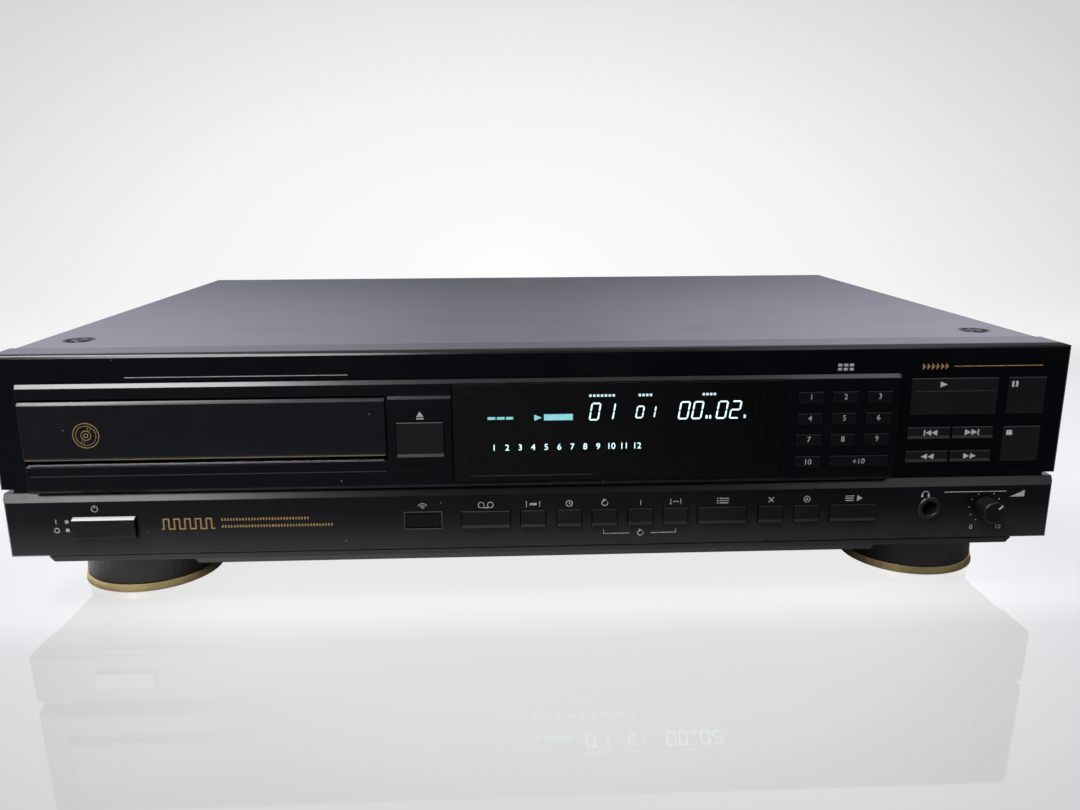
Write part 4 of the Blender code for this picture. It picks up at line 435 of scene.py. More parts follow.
# Loader. A black moulded frame carries the tray's rails, the nylon drive gear, the steel
# turntable, the pickup on its rods, and the sprung steel clamp arm with its nylon puck.
dress(surface("loader_moulding", (0.014, 0.014, 0.015, 1), 0.42, grain=1500, smears=0.3, dust=0.5, bump=0.10),
    "loader_frame")
dress(surface("white_nylon", (0.62, 0.61, 0.57, 1), 0.45, grain=1500, smears=0.3, dust=0.2, bump=0.05),
    "loading_gear", "clamp_puck")
dress(surface("zinc_steel", (0.48, 0.48, 0.46, 1), 0.33, grain=1800, smears=0.6, dust=0.2, bump=0.05,
    metallic=1.0), "clamp_arm", "turntable")
dress(moulded, "pickup_sled")
lens_glass = surface("lens_glass", (0.02, 0.012, 0.05, 1), 0.04, smears=0.0, dust=0.0, bump=0.0, coat=1.0)
bm = bmesh.new()
low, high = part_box("pickup_sled")
lens_middle = Vector(((low.x + high.x) / 2, low.y + 8 * MM, high.z))
lathe(bm, lambda a, b, along: lens_middle + Vector((a, b, along)) * MM,
    ((-0.2, 2.1), (0.10, 2.1), (0.45, 1.6), (0.62, 0.8)))
made("pickup_lens", bm, lens_glass, "pickup", "window_smoke", smooth=True)

# Disc tray and its door. The tray is moulded in black with a fine spark-eroded grain, the door
# in a slightly bluer black with a soft sheen, and the door clips on the tray's front end.
TRAY_BLACK = (0.010, 0.010, 0.011, 1)
DOOR_BLACK = (0.0030, 0.0036, 0.0052, 1)


def long_streaks(tree, tint):
    """Soft level streaks, as wiping leaves them."""
    place = put(tree, "ShaderNodeTexCoord").outputs["Object"]
    drawn = put(tree, "ShaderNodeMapping", {"Vector": place, "Scale": (5.0, 40.0, 260.0)})
    streak = put(tree, "ShaderNodeTexNoise", {"Vector": drawn.outputs[0], "Scale": 1.0, "Detail": 3.0})
    streak = put(tree, "ShaderNodeMapRange",
        {"Value": streak.outputs["Fac"], "From Min": 0.46, "From Max": 0.75, "To Max": 0.02})
    return put(tree, "ShaderNodeMix", {"Factor": streak.outputs[0], 6: tint, 7: (0.16, 0.17, 0.20, 1)},
        data_type="RGBA").outputs[2]


dress(surface("tray_moulding", TRAY_BLACK, 0.45, grain=2600, smears=0.2, dust=0.4, bump=0.16), "disc_tray")
dress(surface("door_finish", DOOR_BLACK, 0.20, grain=1600, smears=0.3, dust=0.3, bump=0.02, specular=0.42,
    layer=long_streaks), "tray_door")


def prism(bm, outline, d, depth):
    """A thin plate with its front at d, from its outline in x and t."""
    front = [bm.verts.new(at(x, d, t)) for x, t in outline]
    back = [bm.verts.new(at(x, d + depth, t)) for x, t in outline]
    bm.faces.new(front)
    bm.faces.new(back[::-1])
    for step in range(len(outline)):
        after = (step + 1) % len(outline)
        bm.faces.new((front[step], back[step], back[after], front[after]))


def ribbon(bm, points, width, d, depth=0.06, closed=False):
    """A line of even width along points in x and t, mitred at its corners."""
    count = len(points)
    sides = []
    for index, (x, t) in enumerate(points):
        ahead = points[(index + 1) % count] if closed or index < count - 1 else None
        behind = points[index - 1] if closed or index > 0 else None
        ways = []
        for one, two in ((behind, (x, t)), ((x, t), ahead)):
            if one and two:
                ways.append(Vector((two[0] - one[0], two[1] - one[1])).normalized())
        normals = [Vector((-way.y, way.x)) for way in ways]
        middle = (normals[0] + normals[-1]).normalized()
        reach = width / 2 / max(middle.dot(normals[0]), 0.4)
        over = middle * reach
        sides.append(((x + over.x, t + over.y), (x - over.x, t - over.y)))
    rows = []
    for a, b in sides:
        corners = ((a, d), (b, d), (b, d + depth), (a, d + depth))
        rows.append([bm.verts.new(at(x, face, t)) for (x, t), face in corners])
    spans = list(zip(rows, rows[1:])) + ([(rows[-1], rows[0])] if closed else [])
    for one, two in spans:
        for step in range(4):
            after = (step + 1) % 4
            bm.faces.new((one[step], one[after], two[after], two[step]))
    if not closed:
        bm.faces.new(rows[0])
        bm.faces.new(rows[-1][::-1])


def arc(x, t, radius, start, end, steps=20):
    """Points on a circle, angles in degrees clockwise from up."""
    turn = [math.radians(start + (end - start) * step / steps) for step in range(steps + 1)]
    return [(x + radius * math.sin(a), t - radius * math.cos(a)) for a in turn]


def ring(bm, x, t, radius, width, d, depth=0.06, steps=28):
    """A closed circle line."""
    ribbon(bm, arc(x, t, radius, 0, 360, steps)[:-1], width, d, depth, closed=True)


def ink(name, colour, roughness=0.45, metallic=0.0):
    """Screen-printed ink or foil, slightly worn and uneven."""
    material, tree = new_material(name)
    place = put(tree, "ShaderNodeTexCoord").outputs["Object"]
    worn = put(tree, "ShaderNodeTexNoise", {"Vector": place, "Scale": 1400.0, "Detail": 3.0})
    worn = put(tree, "ShaderNodeMapRange",
        {"Value": worn.outputs["Fac"], "From Min": 0.35, "From Max": 0.62, "To Min": 0.55})
    tint = put(tree, "ShaderNodeMix", {"Factor": worn.outputs[0], 6: (0.02, 0.02, 0.02, 1), 7: colour},
        data_type="RGBA")
    shader = put(tree, "ShaderNodeBsdfPrincipled",
        {"Base Color": tint.outputs[2], "Roughness": roughness, "Metallic": metallic})
    put(tree, "ShaderNodeOutputMaterial", {"Surface": shader.outputs[0]})
    return material


gold_ink = ink("gold_print", (0.42, 0.255, 0.095, 1))
DOOR_FACE = -4.8
DISC_MARK = (-178.3, 30.4)
bm = bmesh.new()
for radius, width in ((5.0, 0.32), (3.9, 0.20), (1.9, 0.28), (0.8, 0.30)):
    ring(bm, *DISC_MARK, radius, width, DOOR_FACE - 0.05, steps=40)
for start in (20, 38, 200, 218):
    inner, outer = [arc(*DISC_MARK, radius, start, start, 1)[0] for radius in (2.3, 3.6)]
    ribbon(bm, [inner, outer], 0.22, DOOR_FACE - 0.05)
made("door_disc_mark", bm, gold_ink, "tray", "print_gold")
bm = bmesh.new()
ribbon(bm, [(-203.2, 40.35), (-62.1, 40.35)], 0.45, DOOR_FACE - 0.04)
made("door_foot_line", bm, ink("bronze_line", (0.20, 0.145, 0.085, 1), 0.3), "tray", "print_gold")

# Display. A green board carries the fluorescent tube: dark glass over a fine grid, with the
# lit figures as phosphor on its plate. Only plain numbers, bars and play marks are lit.
TUBE_FACE = 6.95
SLANT = math.tan(math.radians(9))
LIT = {"0": "abcdef", "1": "bc", "2": "abged"}
FIGURE_HEIGHT_SHARE = 0.73


def segments(bm, text, x, t, width, height, pitch, half, d):
    """Slanted seven-segment figures; x and t are the lower left corner of the first."""
    for index, figure in enumerate(text):
        left = x + index * pitch
        corners = {"a": ((0, 2), (1, 2)), "b": ((1, 2), (1, 1)), "c": ((1, 1), (1, 0)), "d": ((1, 0), (0, 0)),
                   "e": ((0, 0), (0, 1)), "f": ((0, 1), (0, 2)), "g": ((0, 1), (1, 1))}
        for name in LIT[figure]:
            a, b = [Vector((p[0] * width, p[1] * height / 2)) for p in corners[name]]
            way = (b - a).normalized()
            over = Vector((-way.y, way.x)) * half
            tip = half * 0.35
            shape = [a + way * tip, a + way * (tip + half) + over, b - way * (tip + half) + over,
                     b - way * tip, b - way * (tip + half) - over, a + way * (tip + half) - over]
            prism(bm, [(left + p.x + p.y * SLANT, t - p.y) for p in shape], d, 0.05)


def numeral(bm, text, x, t, size, d, slant=0.0):
    """A printed or lit plain number, centred on x and t."""
    curve = bpy.data.curves.new("numeral", "FONT")
    curve.body = text
    curve.size = size / FIGURE_HEIGHT_SHARE
    curve.align_x = "CENTER"
    curve.extrude = 0.04
    curve.resolution_u = 3
    curve.shear = slant
    holder = bpy.data.objects.new("numeral", curve)
    shape = holder.to_mesh()
    start = len(bm.verts)
    bm.from_mesh(shape)
    bm.verts.ensure_lookup_table()
    for vert in bm.verts[start:]:
        vert.co = at(x + vert.co.x, d - vert.co.z, t + size / 2 - vert.co.y)
    holder.to_mesh_clear()
    bpy.data.objects.remove(holder)
    bpy.data.curves.remove(curve)


def bar(bm, x, t, d, depth=0.06):
    """A filled rectangle."""
    prism(bm, [(x[0], t[0]), (x[1], t[0]), (x[1], t[1]), (x[0], t[1])], d, depth)


def pointer(bm, x, t, d, depth=0.06):
    """A filled triangle from its upright side x[0] to its tip x[1]."""
    prism(bm, [(x[0], t[0]), (x[1], (t[0] + t[1]) / 2), (x[0], t[1])], d, depth)


def phosphor(name, colour, strength):
    """Lit phosphor, slightly uneven, as the tube's fine grid shades it."""
    material, tree = new_material(name)
    place = put(tree, "ShaderNodeTexCoord").outputs["Object"]
    grid = put(tree, "ShaderNodeTexNoise", {"Vector": place, "Scale": 2500.0, "Detail": 1.0})
    shade = put(tree, "ShaderNodeMapRange",
        {"Value": grid.outputs["Fac"], "From Min": 0.3, "From Max": 0.7, "To Min": 0.72, "To Max": 1.0})
    tint = put(tree, "ShaderNodeMix", {"Factor": shade.outputs[0], 6: (0.0, 0.05, 0.07, 1), 7: colour},
        data_type="RGBA")
    shader = put(tree, "ShaderNodeBsdfPrincipled", {
        "Base Color": (0.3, 0.4, 0.4, 1), "Roughness": 0.6, "Emission Color": tint.outputs[2],
        "Emission Strength": strength})
    put(tree, "ShaderNodeOutputMaterial", {"Surface": shader.outputs[0]})
    return material


def tube_glass(tree, tint):
    """The green board, and over its front the tube's dark glass with a faint upright band."""
    place = put(tree, "ShaderNodeSeparateXYZ", {"Vector": put(tree, "ShaderNodeTexCoord").outputs["Object"]})
    front = put(tree, "ShaderNodeMath", {0: place.outputs["Y"], 1: -0.1335}, operation="LESS_THAN")
    band = put(tree, "ShaderNodeMapRange",
        {"Value": place.outputs["X"], "From Min": 0.0695, "From Max": 0.0735, "To Max": 1.0})
    away = put(tree, "ShaderNodeMapRange",
        {"Value": place.outputs["X"], "From Min": 0.0735, "From Max": 0.0765, "To Min": 1.0, "To Max": 0.0})
    band = put(tree, "ShaderNodeMath", {0: band.outputs[0], 1: away.outputs[0]}, operation="MULTIPLY")
    dark = put(tree, "ShaderNodeMix",
        {"Factor": band.outputs[0], 6: (0.011, 0.006, 0.0058, 1), 7: (0.030, 0.017, 0.016, 1)},
        data_type="RGBA")
    return put(tree, "ShaderNodeMix", {"Factor": front.outputs[0], 6: tint, 7: dark.outputs[2]},
        data_type="RGBA").outputs[2]


dress(surface("display_board_finish", (0.012, 0.075, 0.03, 1), 0.35, grain=800, smears=0.1, dust=0.1,
    specular=0.06, layer=tube_glass), "display_board")
lit = phosphor("lit_figures", (0.60, 0.95, 1.0, 1), 9.0)
bm = bmesh.new()
segments(bm, "01", 20.9, 29.9, 3.5, 6.9, 6.1, 0.30, TUBE_FACE)
segments(bm, "01", 40.1, 29.3, 2.7, 4.8, 4.9, 0.26, TUBE_FACE)
segments(bm, "00", 57.8, 30.0, 3.7, 7.1, 5.6, 0.31, TUBE_FACE)
segments(bm, "02", 73.6, 30.0, 3.7, 7.1, 5.6, 0.31, TUBE_FACE)
for x in (69.2, 70.7, 85.2):
    bar(bm, (x, x + 0.8), (28.7, 30.1), TUBE_FACE)
for number in range(1, 13):
    numeral(bm, str(number), -18.6 + 5.405 * (number - 1), 41.2, 2.7, TUBE_FACE)
made("lit_numbers", bm, lit, "chassis", "display_light")
bm = bmesh.new()
pointer(bm, (-1.9, 1.2), (27.4, 30.0), TUBE_FACE)
bar(bm, (2.1, 14.0), (27.3, 29.9), TUBE_FACE)
for x in ((-21.1, -17.9), (-17.3, -14.1), (-13.5, -10.6)):
    bar(bm, x, (28.2, 29.3), TUBE_FACE)
made("lit_bars", bm, phosphor("lit_bars", (0.30, 0.80, 0.86, 1), 4.4), "chassis", "display_light")
bm = bmesh.new()
for left, right in ((20.7, 31.9), (41.1, 47.2), (67.6, 73.7)):
    count = round((right - left) / 1.5)
    for step in range(count):
        start = left + step * (right - left) / count
        bar(bm, (start, start + 1.0), (19.2, 20.2), TUBE_FACE)
made("lit_ticks", bm, phosphor("lit_ticks", (0.55, 0.85, 0.90, 1), 6.0), "chassis", "display_light")
bm = bmesh.new()
bar(bm, (-15, 43), (49.0, 49.3), TUBE_FACE)
ribbon(bm, [(90.3, 21.5), (90.3, 30)], 0.25, TUBE_FACE)
made("tube_frame_lines", bm, ink("tube_lines", (0.20, 0.15, 0.14, 1)), "chassis", "print_grey")

# The tube's inner glass: a thin sheet behind the lit figures that carries painted glow, soft light round the
# figures and a faint reddish glow elsewhere, painted as emission.
PAINTED_GLOW_SPOTS = (((52, 26.5), (42, 9)), ((-2, 28.5), (24, 5)), ((11, 40), (36, 4.5)))
painted_glow_material, tree = new_material("tube_painted_glow")
place = put(tree, "ShaderNodeTexCoord").outputs["Object"]
glows = []
for (x, t), (reach_x, reach_t) in PAINTED_GLOW_SPOTS:
    away = put(tree, "ShaderNodeVectorMath", {0: place, 1: at(x, TUBE_FACE, t)}, operation="SUBTRACT")
    away = put(tree, "ShaderNodeVectorMath",
        {0: away.outputs[0], 1: (1 / reach_x / MM, 0.0, 1 / reach_t / MM)}, operation="MULTIPLY")
    away = put(tree, "ShaderNodeVectorMath", {0: away.outputs[0]}, operation="LENGTH")
    glows.append(put(tree, "ShaderNodeMapRange",
        {"Value": away.outputs["Value"], "From Min": 0.2, "From Max": 1.0, "To Min": 1.0, "To Max": 0.0},
        interpolation_type="SMOOTHSTEP"))
lit_area = put(tree, "ShaderNodeMath", {0: glows[0].outputs[0], 1: glows[1].outputs[0]}, operation="MAXIMUM")
lit_area = put(tree, "ShaderNodeMath", {0: lit_area.outputs[0], 1: glows[2].outputs[0]}, operation="MAXIMUM")
painted_glow_tones = tones(tree, lit_area.outputs[0], ((0.0, (0.0040, 0.0012, 0.0012, 1)), (1.0, (0.010, 0.030, 0.042, 1))))
shader = put(tree, "ShaderNodeBsdfPrincipled",
    {"Base Color": (0.008, 0.005, 0.005, 1), "Roughness": 0.5, "Specular IOR Level": 0.05,
        "Emission Color": painted_glow_tones, "Emission Strength": 3.0})
put(tree, "ShaderNodeOutputMaterial", {"Surface": shader.outputs[0]})
bm = bmesh.new()
bar(bm, (-27.5, 92.0), (17.6, 46.6), TUBE_FACE + 0.12, 0.05)
made("tube_glass_painted_glow", bm, painted_glow_material, "chassis", "window_smoke")

# Lower front panel. A black anodised and painted moulding with a sloping top edge, which takes
# the power button, the row of small keys, the sensor, the headphone jack and the level knob.
PANEL_BLACK = (0.0012, 0.0016, 0.0028, 1)
LOWER_BLACK = (0.0030, 0.0033, 0.0040, 1)


def dusty_foot(tree, tint):
    """Painted reflection: the panel gets paler towards its lower edge, where the bright table shows in it."""
    place = put(tree, "ShaderNodeSeparateXYZ", {"Vector": put(tree, "ShaderNodeTexCoord").outputs["Object"]})
    fade = put(tree, "ShaderNodeMapRange",
        {"Value": place.outputs["Z"], "From Min": 0.042, "From Max": 0.025, "To Max": 1.0},
        interpolation_type="SMOOTHSTEP")
    fade = put(tree, "ShaderNodeMath", {0: fade.outputs[0], 1: 0.09}, operation="MULTIPLY")
    return put(tree, "ShaderNodeMix", {"Factor": fade.outputs[0], 6: tint, 7: (0.16, 0.16, 0.16, 1)},
        data_type="RGBA").outputs[2]


# The lower panel's colour carries a painted reflection that pales it towards its lower edge.
dress(surface("lower_panel_finish", LOWER_BLACK, 0.26, grain=1400, smears=0.25, dust=0.4, bump=0.02,
    specular=0.40, soften=0.4, layer=dusty_foot), "lower_fascia")
grey_ink = ink("grey_print", (0.52, 0.53, 0.54, 1))
LABEL_T = 64.0
INK_FACE = -0.05
bm = bmesh.new()
ring(bm, -181.0, 62.6, 1.25, 0.32, INK_FACE)
ribbon(bm, [(-181.0, 60.9), (-181.0, 62.4)], 0.34, INK_FACE)
ribbon(bm, [(-197.0, 66.9), (-197.0, 68.9)], 0.36, INK_FACE)
ring(bm, -197.0, 71.6, 0.95, 0.32, INK_FACE)
for t in (67.9, 71.6):
    bar(bm, (-193.4, -192.0), (t - 0.7, t + 0.7), INK_FACE)
for radius in (1.1, 2.1):
    ribbon(bm, arc(-48.4, 65.0, radius, -60, 60, 10), 0.32, INK_FACE)
bar(bm, (-48.75, -48.05), (64.5, 65.1), INK_FACE)
for x in (-24.3, -20.5):
    ring(bm, x, LABEL_T, 1.2, 0.32, INK_FACE)
ribbon(bm, [(-24.3, LABEL_T + 1.2), (-20.5, LABEL_T + 1.2)], 0.32, INK_FACE)
for x in (-5.6, -0.1):
    ribbon(bm, [(x, LABEL_T - 1.2), (x, LABEL_T + 1.2)], 0.36, INK_FACE)
bar(bm, (-4.3, -1.4), (LABEL_T - 0.45, LABEL_T + 0.45), INK_FACE)
ring(bm, 12.2, LABEL_T, 1.3, 0.32, INK_FACE)
ribbon(bm, [(12.2, LABEL_T - 0.9), (12.2, LABEL_T), (13.0, LABEL_T + 0.4)], 0.28, INK_FACE)
ribbon(bm, arc(27.0, LABEL_T, 1.25, 60, 330, 20), 0.34, INK_FACE)
pointer(bm, (26.3, 27.9), (LABEL_T - 1.9, LABEL_T - 0.5), INK_FACE)
numeral(bm, "1", 42.0, LABEL_T, 2.3, INK_FACE)
ribbon(bm, [(54.6, LABEL_T - 1.2), (54.6, LABEL_T + 1.2)], 0.36, INK_FACE)
ribbon(bm, [(58.8, LABEL_T - 1.2), (58.8, LABEL_T + 1.2)], 0.36, INK_FACE)
ribbon(bm, [(55.5, LABEL_T), (57.9, LABEL_T)], 0.34, INK_FACE)
for step in (-1, 0, 1):
    bar(bm, (74.0, 74.6), (LABEL_T + step - 0.2, LABEL_T + step + 0.2), INK_FACE)
    bar(bm, (75.2, 78.9), (LABEL_T + step - 0.18, LABEL_T + step + 0.18), INK_FACE)
ribbon(bm, [(95.8, LABEL_T - 1.1), (98.0, LABEL_T + 1.1)], 0.34, INK_FACE)
ribbon(bm, [(98.0, LABEL_T - 1.1), (95.8, LABEL_T + 1.1)], 0.34, INK_FACE - 0.01)
ring(bm, 112.1, LABEL_T, 1.25, 0.32, INK_FACE)
ring(bm, 112.1, LABEL_T, 0.25, 0.45, INK_FACE, steps=10)
for step in (-1, 0, 1):
    bar(bm, (128.3, 132.0), (LABEL_T + step - 0.18, LABEL_T + step + 0.18), INK_FACE)
pointer(bm, (133.4, 135.8), (LABEL_T - 1.3, LABEL_T + 1.3), INK_FACE)
ribbon(bm, [(26.6, 75.8), (26.6, 77.6), (37.6, 77.6)], 0.26, INK_FACE)
ribbon(bm, [(46.6, 77.6), (57.0, 77.6), (57.0, 75.8)], 0.26, INK_FACE)
ribbon(bm, arc(42.1, 77.5, 1.15, 60, 330, 20), 0.32, INK_FACE)
pointer(bm, (41.5, 43.0), (75.7, 77.0), INK_FACE)
ribbon(bm, arc(162.6, 62.9, 1.35, -90, 90, 14), 0.32, INK_FACE)
for x in (161.25, 163.95):
    bar(bm, (x - 0.4, x + 0.4), (62.8, 64.2), INK_FACE)
ribbon(bm, [(170.5, 62.1), (197.3, 62.1)], 0.30, INK_FACE)
prism(bm, [(199.0, 64.6), (205.2, 64.6), (205.2, 61.8)], INK_FACE, 0.06)
numeral(bm, "0", 183.6, 77.8, 2.1, INK_FACE)
numeral(bm, "10", 195.2, 77.8, 2.1, INK_FACE)
for step in range(11):
    x, t = arc(188.7, 68.9, 6.7, -195 + 45 + step * 30, 0, 1)[0]
    ring(bm, x, t, 0.12, 0.22, INK_FACE, steps=8)
made("lower_panel_print", bm, grey_ink, "chassis", "print_grey")
bm = bmesh.new()
pulse = [(-155.0, 71.9)]
for step in range(5):
    left = -155.0 + step * 4.3
    pulse += [(left + 1.0, 71.9), (left + 1.0, 67.6), (left + 3.1, 67.6), (left + 3.1, 71.9)]
ribbon(bm, pulse + [(-133.4, 71.9)], 0.55, INK_FACE)
for row, t in enumerate((68.2, 71.2)):
    for step in range(38 if row else 30):
        bar(bm, (-130.6 + step * 1.2, -130.0 + step * 1.2), (t - 0.55, t + 0.55), INK_FACE)
made("lower_panel_gold_print", bm, gold_ink, "chassis", "print_gold")

# Upper front panel and the raised centre panel on it. Both are black mouldings with bright
# chamfered edges; the centre panel frames the door, the display window and the number keys.
def rolled_edge(tree, normal):
    """The last 9 mm of the panel's top roll over gently towards the front."""
    place = put(tree, "ShaderNodeSeparateXYZ", {"Vector": put(tree, "ShaderNodeTexCoord").outputs["Object"]})
    lean = put(tree, "ShaderNodeMapRange",
        {"Value": place.outputs["Y"], "From Min": -0.1380, "From Max": -0.1465, "To Max": -1.25})
    leaning = put(tree, "ShaderNodeCombineXYZ", {"Y": lean.outputs[0], "Z": 1.0})
    leaning = put(tree, "ShaderNodeVectorMath", {0: leaning.outputs[0]}, operation="NORMALIZE")
    facing = put(tree, "ShaderNodeSeparateXYZ",
        {"Vector": put(tree, "ShaderNodeNewGeometry").outputs["True Normal"]})
    level_part = put(tree, "ShaderNodeMath", {0: facing.outputs["Z"], 1: 0.6}, operation="GREATER_THAN")
    return put(tree, "ShaderNodeMix", {"Factor": level_part.outputs[0], 4: normal, 5: leaning.outputs[0]},
        data_type="VECTOR").outputs[1]


dress(surface("upper_panel_finish", PANEL_BLACK, 0.19, grain=1400, smears=0.2, dust=0.3, bump=0.02,
    specular=0.25, roll=rolled_edge), "upper_fascia")
dress(surface("centre_panel_finish", PANEL_BLACK, 0.20, grain=1400, smears=0.2, dust=0.3, bump=0.02,
    specular=0.36), "centre_bezel")
bm = bmesh.new()
ribbon(bm, [(-163.0, 8.4), (-76.0, 8.4)], 0.28, INK_FACE)
for row in range(2):
    for column in range(3):
        bar(bm, (121.0 + column * 2.4, 122.7 + column * 2.4), (6.4 + row * 1.7, 7.5 + row * 1.7), INK_FACE)
made("upper_panel_print", bm, grey_ink, "chassis", "print_grey")
bm = bmesh.new()
for step in range(6):
    pointer(bm, (156.0 + step * 1.9, 157.3 + step * 1.9), (6.6, 9.4), INK_FACE)
ribbon(bm, [(169.0, 8.0), (206.0, 8.0)], 0.35, INK_FACE)
made("upper_panel_gold_print", bm, gold_ink, "chassis", "print_gold")
bm = bmesh.new()
EJECT_FACE = -4.35
prism(bm, [(-49.2, 24.9), (-46.3, 24.9), (-47.75, 22.7)], EJECT_FACE, 0.06)
bar(bm, (-49.2, -46.3), (25.3, 25.9), EJECT_FACE)
made("eject_mark", bm, grey_ink, "chassis", "print_grey")
# A pale metal strip along the ledge under the door, on the black moulding: its pale tone is a painted
# highlight, its sheen a real reflection of the lamps.
bm = bmesh.new()
ledge = [(-3.15, 42.45), (-3.50, 42.60), (-3.62, 42.95), (-3.50, 43.25), (-3.15, 43.35)]
ends = [[bm.verts.new(at(x, d, t)) for d, t in ledge] for x in (-202.6, -62.7)]
for step in range(len(ledge)):
    after = (step + 1) % len(ledge)
    bm.faces.new((ends[0][step], ends[0][after], ends[1][after], ends[1][step]))
bm.faces.new(ends[0])
bm.faces.new(ends[1][::-1])
made("door_ledge_highlight_strip", bm,
    surface("ledge_painted_highlight", (0.17, 0.17, 0.18, 1), 0.20, grain=2600, smears=0.5, dust=0.3, bump=0.03,
        metallic=0.8), "chassis", "panel_black")
# A lighter line where the centre panel steps back: a painted highlight on the step's edge.
bm = bmesh.new()
ribbon(bm, [(-203.0, 47.6), (-62.0, 47.6)], 0.40, -3.24)
made("bezel_painted_edge_line", bm, ink("step_edge_painted_highlight", (0.030, 0.031, 0.034, 1)), "chassis", "panel_black")

# Display window. It is a 2 mm plate of smoked acrylic set into the centre panel; unlit, it
# looks black, and the tube's figures show through it.
material, tree = new_material("smoked_acrylic")
place = put(tree, "ShaderNodeTexCoord").outputs["Object"]
marks = put(tree, "ShaderNodeTexNoise", {"Vector": place, "Scale": 30.0, "Detail": 6.0})
marks = put(tree, "ShaderNodeMapRange",
    {"Value": marks.outputs["Fac"], "From Min": 0.4, "From Max": 0.8, "To Min": 0.01, "To Max": 0.04})
shader = put(tree, "ShaderNodeBsdfPrincipled", {
    "Base Color": (0.26, 0.235, 0.235, 1), "Roughness": marks.outputs[0], "IOR": 1.49,
    "Specular IOR Level": 0.1, "Transmission Weight": 1.0})
put(tree, "ShaderNodeOutputMaterial", {"Surface": shader.outputs[0]})
dress(material, "display_window")
bm = bmesh.new()
ribbon(bm, [(-28.3, 50.3), (21.6, 50.3)], 0.22, -3.25)
made("window_print", bm, ink("dim_print", (0.05, 0.05, 0.052, 1)), "chassis", "print_grey")

# Keys. Every key is a black moulded cap with a thin lip along its lower edge, on a stem that
# presses a switch on the board. Plain numbers and the usual player signs are printed on them.
KEY_BLACK = (0.0055, 0.0060, 0.0072, 1)
ROW_KEYS = ["row_key_%d" % number for number in range(1, 11)]
PLAYER_KEYS = ["play_key", "pause_key", "stop_key", "skip_back_key", "skip_forward_key", "search_back_key",
    "search_forward_key"]
NUMBER_KEYS = ["number_key_%d" % number for number in range(1, 11)] + ["number_key_plus_10"]
dress(surface("key_finish", KEY_BLACK, 0.42, grain=1700, smears=0.3, dust=0.3, bump=0.08, specular=0.34),
    *PLAYER_KEYS, "open_close_key")
dress(surface("number_key_finish", (0.0028, 0.0032, 0.0044, 1), 0.48, grain=1700, smears=0.2, dust=0.25,
    bump=0.06, specular=0.17), *NUMBER_KEYS)
dress(surface("row_key_finish", (0.0040, 0.0040, 0.0043, 1), 0.40, grain=1700, smears=0.3, dust=0.3,
    bump=0.08, specular=0.30), *ROW_KEYS)
number_ink = ink("number_print", (0.50, 0.51, 0.52, 1))
for index, node in enumerate(NUMBER_KEYS):
    low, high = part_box(node)
    x = (low.x + high.x) / 2 / MM
    t = TOP_EDGE - (low.z + high.z) / 2 / MM
    if index < 9:
        t -= 0.5
    bm = bmesh.new()
    numeral(bm, "+10" if index == 10 else str(index + 1), x, t, 2.4, -3.72)
    made(node + "_print", bm, number_ink, node, "print_grey")

bright_ink = ink("sign_print", (0.62, 0.63, 0.64, 1))
KEY_FACE = -0.52
SIGNS = {
    "play_key": [("tip", (163.8, 166.8), (14.2, 16.7))],
    "pause_key": [("bar", (193.7, 194.6), (14.4, 16.8)), ("bar", (195.3, 196.2), (14.4, 16.8))],
    "stop_key": [("bar", (193.7, 196.2), (35.2, 37.3))],
    "skip_back_key": [("bar", (158.8, 159.4), (34.6, 37.1)), ("tip", (162.0, 159.5), (34.6, 37.1)),
        ("tip", (164.6, 162.1), (34.6, 37.1))],
    "skip_forward_key": [("tip", (176.2, 178.8), (34.6, 37.1)), ("tip", (178.9, 181.5), (34.6, 37.1)),
        ("bar", (181.6, 182.2), (34.6, 37.1))],
    "search_back_key": [("tip", (161.2, 158.6), (44.9, 47.3)), ("tip", (164.0, 161.4), (44.9, 47.3))],
    "search_forward_key": [("tip", (176.6, 179.2), (44.9, 47.3)), ("tip", (179.4, 182.0), (44.9, 47.3))],
}
for node, shapes in SIGNS.items():
    bm = bmesh.new()
    for kind, x, t in shapes:
        (bar if kind == "bar" else pointer)(bm, x, t, KEY_FACE)
    made(node + "_print", bm, bright_ink, node, "print_grey")

# A lighter line across the play key where its face steps: a painted highlight on the step's edge.
bm = bmesh.new()
bar(bm, (153.4, 187.7), (18.1, 18.45), KEY_FACE)
made("play_key_painted_edge", bm, ink("key_edge_painted_highlight", (0.030, 0.031, 0.034, 1)), "play_key", "key_black")

# Power button, remote sensor, headphone jack and level knob. The button is a solid black cap,
# the sensor a dark lens in a pocket whose lit edges are painted as a pale grey ring, the jack has a plated
# nut, and the knob is ribbed.
def leaning_bevel(tree, normal):
    """The cap's upper bevel is one even slope that faces up and forwards."""
    facing = put(tree, "ShaderNodeSeparateXYZ",
        {"Vector": put(tree, "ShaderNodeNewGeometry").outputs["True Normal"]})
    upward = put(tree, "ShaderNodeMath", {0: facing.outputs["Z"], 1: 0.5}, operation="GREATER_THAN")
    return put(tree, "ShaderNodeMix", {"Factor": upward.outputs[0], 4: normal, 5: (0.057, -0.659, 0.750)},
        data_type="VECTOR").outputs[1]


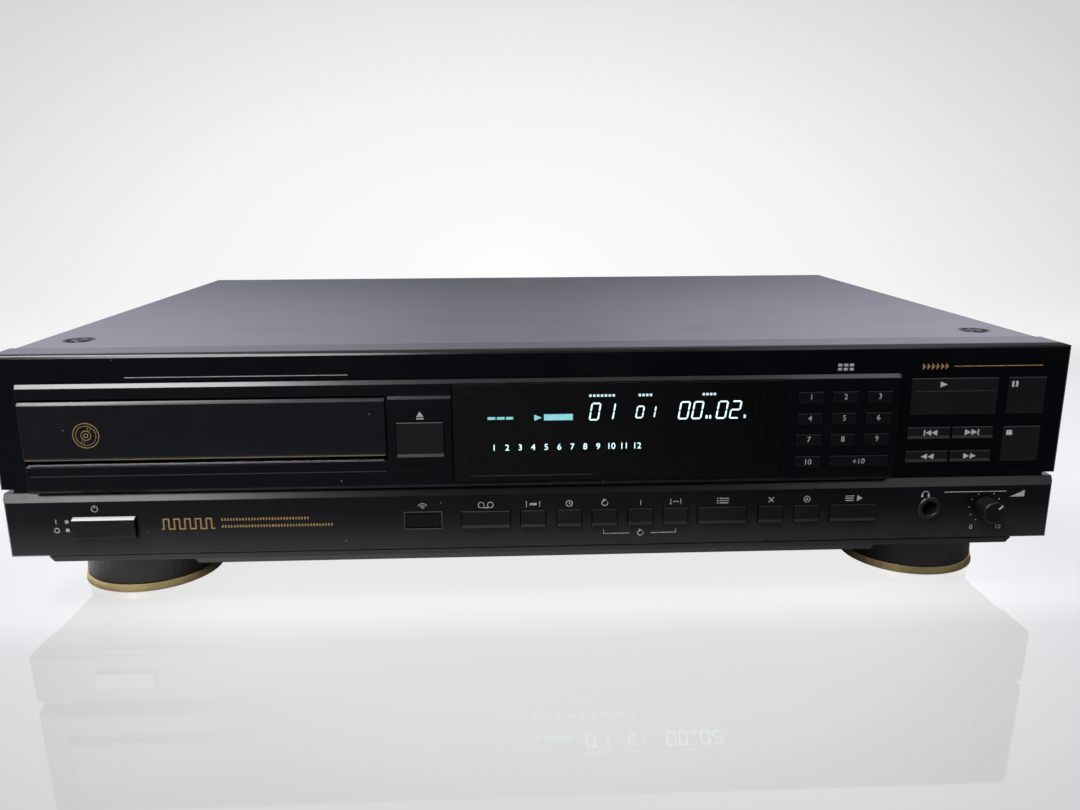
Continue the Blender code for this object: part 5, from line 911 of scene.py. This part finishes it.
dress(surface("power_button_finish", (0.0045, 0.0046, 0.0056, 1), 0.22, grain=1600, smears=0.2, dust=0.3,
    bump=0.02, specular=0.6, soften=0.15, roll=leaning_bevel), "power_button")
dress(surface("jack_moulding", (0.016, 0.016, 0.017, 1), 0.30, grain=1600, smears=0.3, dust=0.3),
    "headphone_jack")
dress(surface("knob_moulding", (0.0045, 0.0035, 0.0038, 1), 0.30, grain=1600, smears=0.3, dust=0.3,
    specular=0.3), "level_knob")
bm = bmesh.new()
bar(bm, (-54.9, -41.7), (67.6, 73.2), 0.35, 0.6)
made("sensor_lens", bm,
    surface("sensor_lens", (0.004, 0.003, 0.0035, 1), 0.10, smears=0.2, dust=0.2, bump=0.0), "chassis",
    "window_smoke")
# Painted highlight: a pale grey ring stands in for the lit edges of the sensor's pocket.
bm = bmesh.new()
ribbon(bm, [(-56.0, 66.6), (-40.6, 66.6), (-40.6, 74.0), (-56.0, 74.0)], 0.4, -0.12, 0.15, closed=True)
made("sensor_pocket_edge_highlight", bm, surface("sensor_pocket_edge_highlight", (0.045, 0.045, 0.048, 1), 0.35, smears=0.2, dust=0.3),
    "chassis", "panel_black")
bm = bmesh.new()
ring(bm, 164.6, 69.0, 4.0, 1.3, -1.1, 0.3, steps=40)
made("jack_nut", bm, surface("jack_nut", (0.10, 0.10, 0.10, 1), 0.28, smears=0.2, dust=0.2, metallic=1.0),
    "chassis", "screw_black")
bm = bmesh.new()
ribbon(bm, [(190.3, 67.3), (191.9, 65.7)], 0.7, -8.05, 0.1)
made("knob_pointer", bm, ink("pointer_print", (0.62, 0.58, 0.56, 1)), "level_knob", "print_grey")

# Top cover. One folded sheet of satin black painted steel closes the top and both sides, held
# by a black pan-head screw in a pressed dimple at each front corner.
# The faint blue in this black paint is a painted reflection tint, standing in for the blue cast of the
# backdrop reflected in the cover.
dress(surface("cover_paint", (0.0055, 0.0055, 0.0080, 1), 0.15, grain=2400, smears=0.35, dust=0.5, bump=0.04,
    specular=0.62), "top_cover")
for side, label in ((-1, "left"), (1, "right")):
    bm = bmesh.new()
    pan_head(bm, lambda a, b, along: at(side * 197.5 + a, 41 + b, 1.4 - along), 3.7, 1.7)
    made("cover_screw_" + label, bm, screw_paint, "chassis", "screw_black", smooth=True)
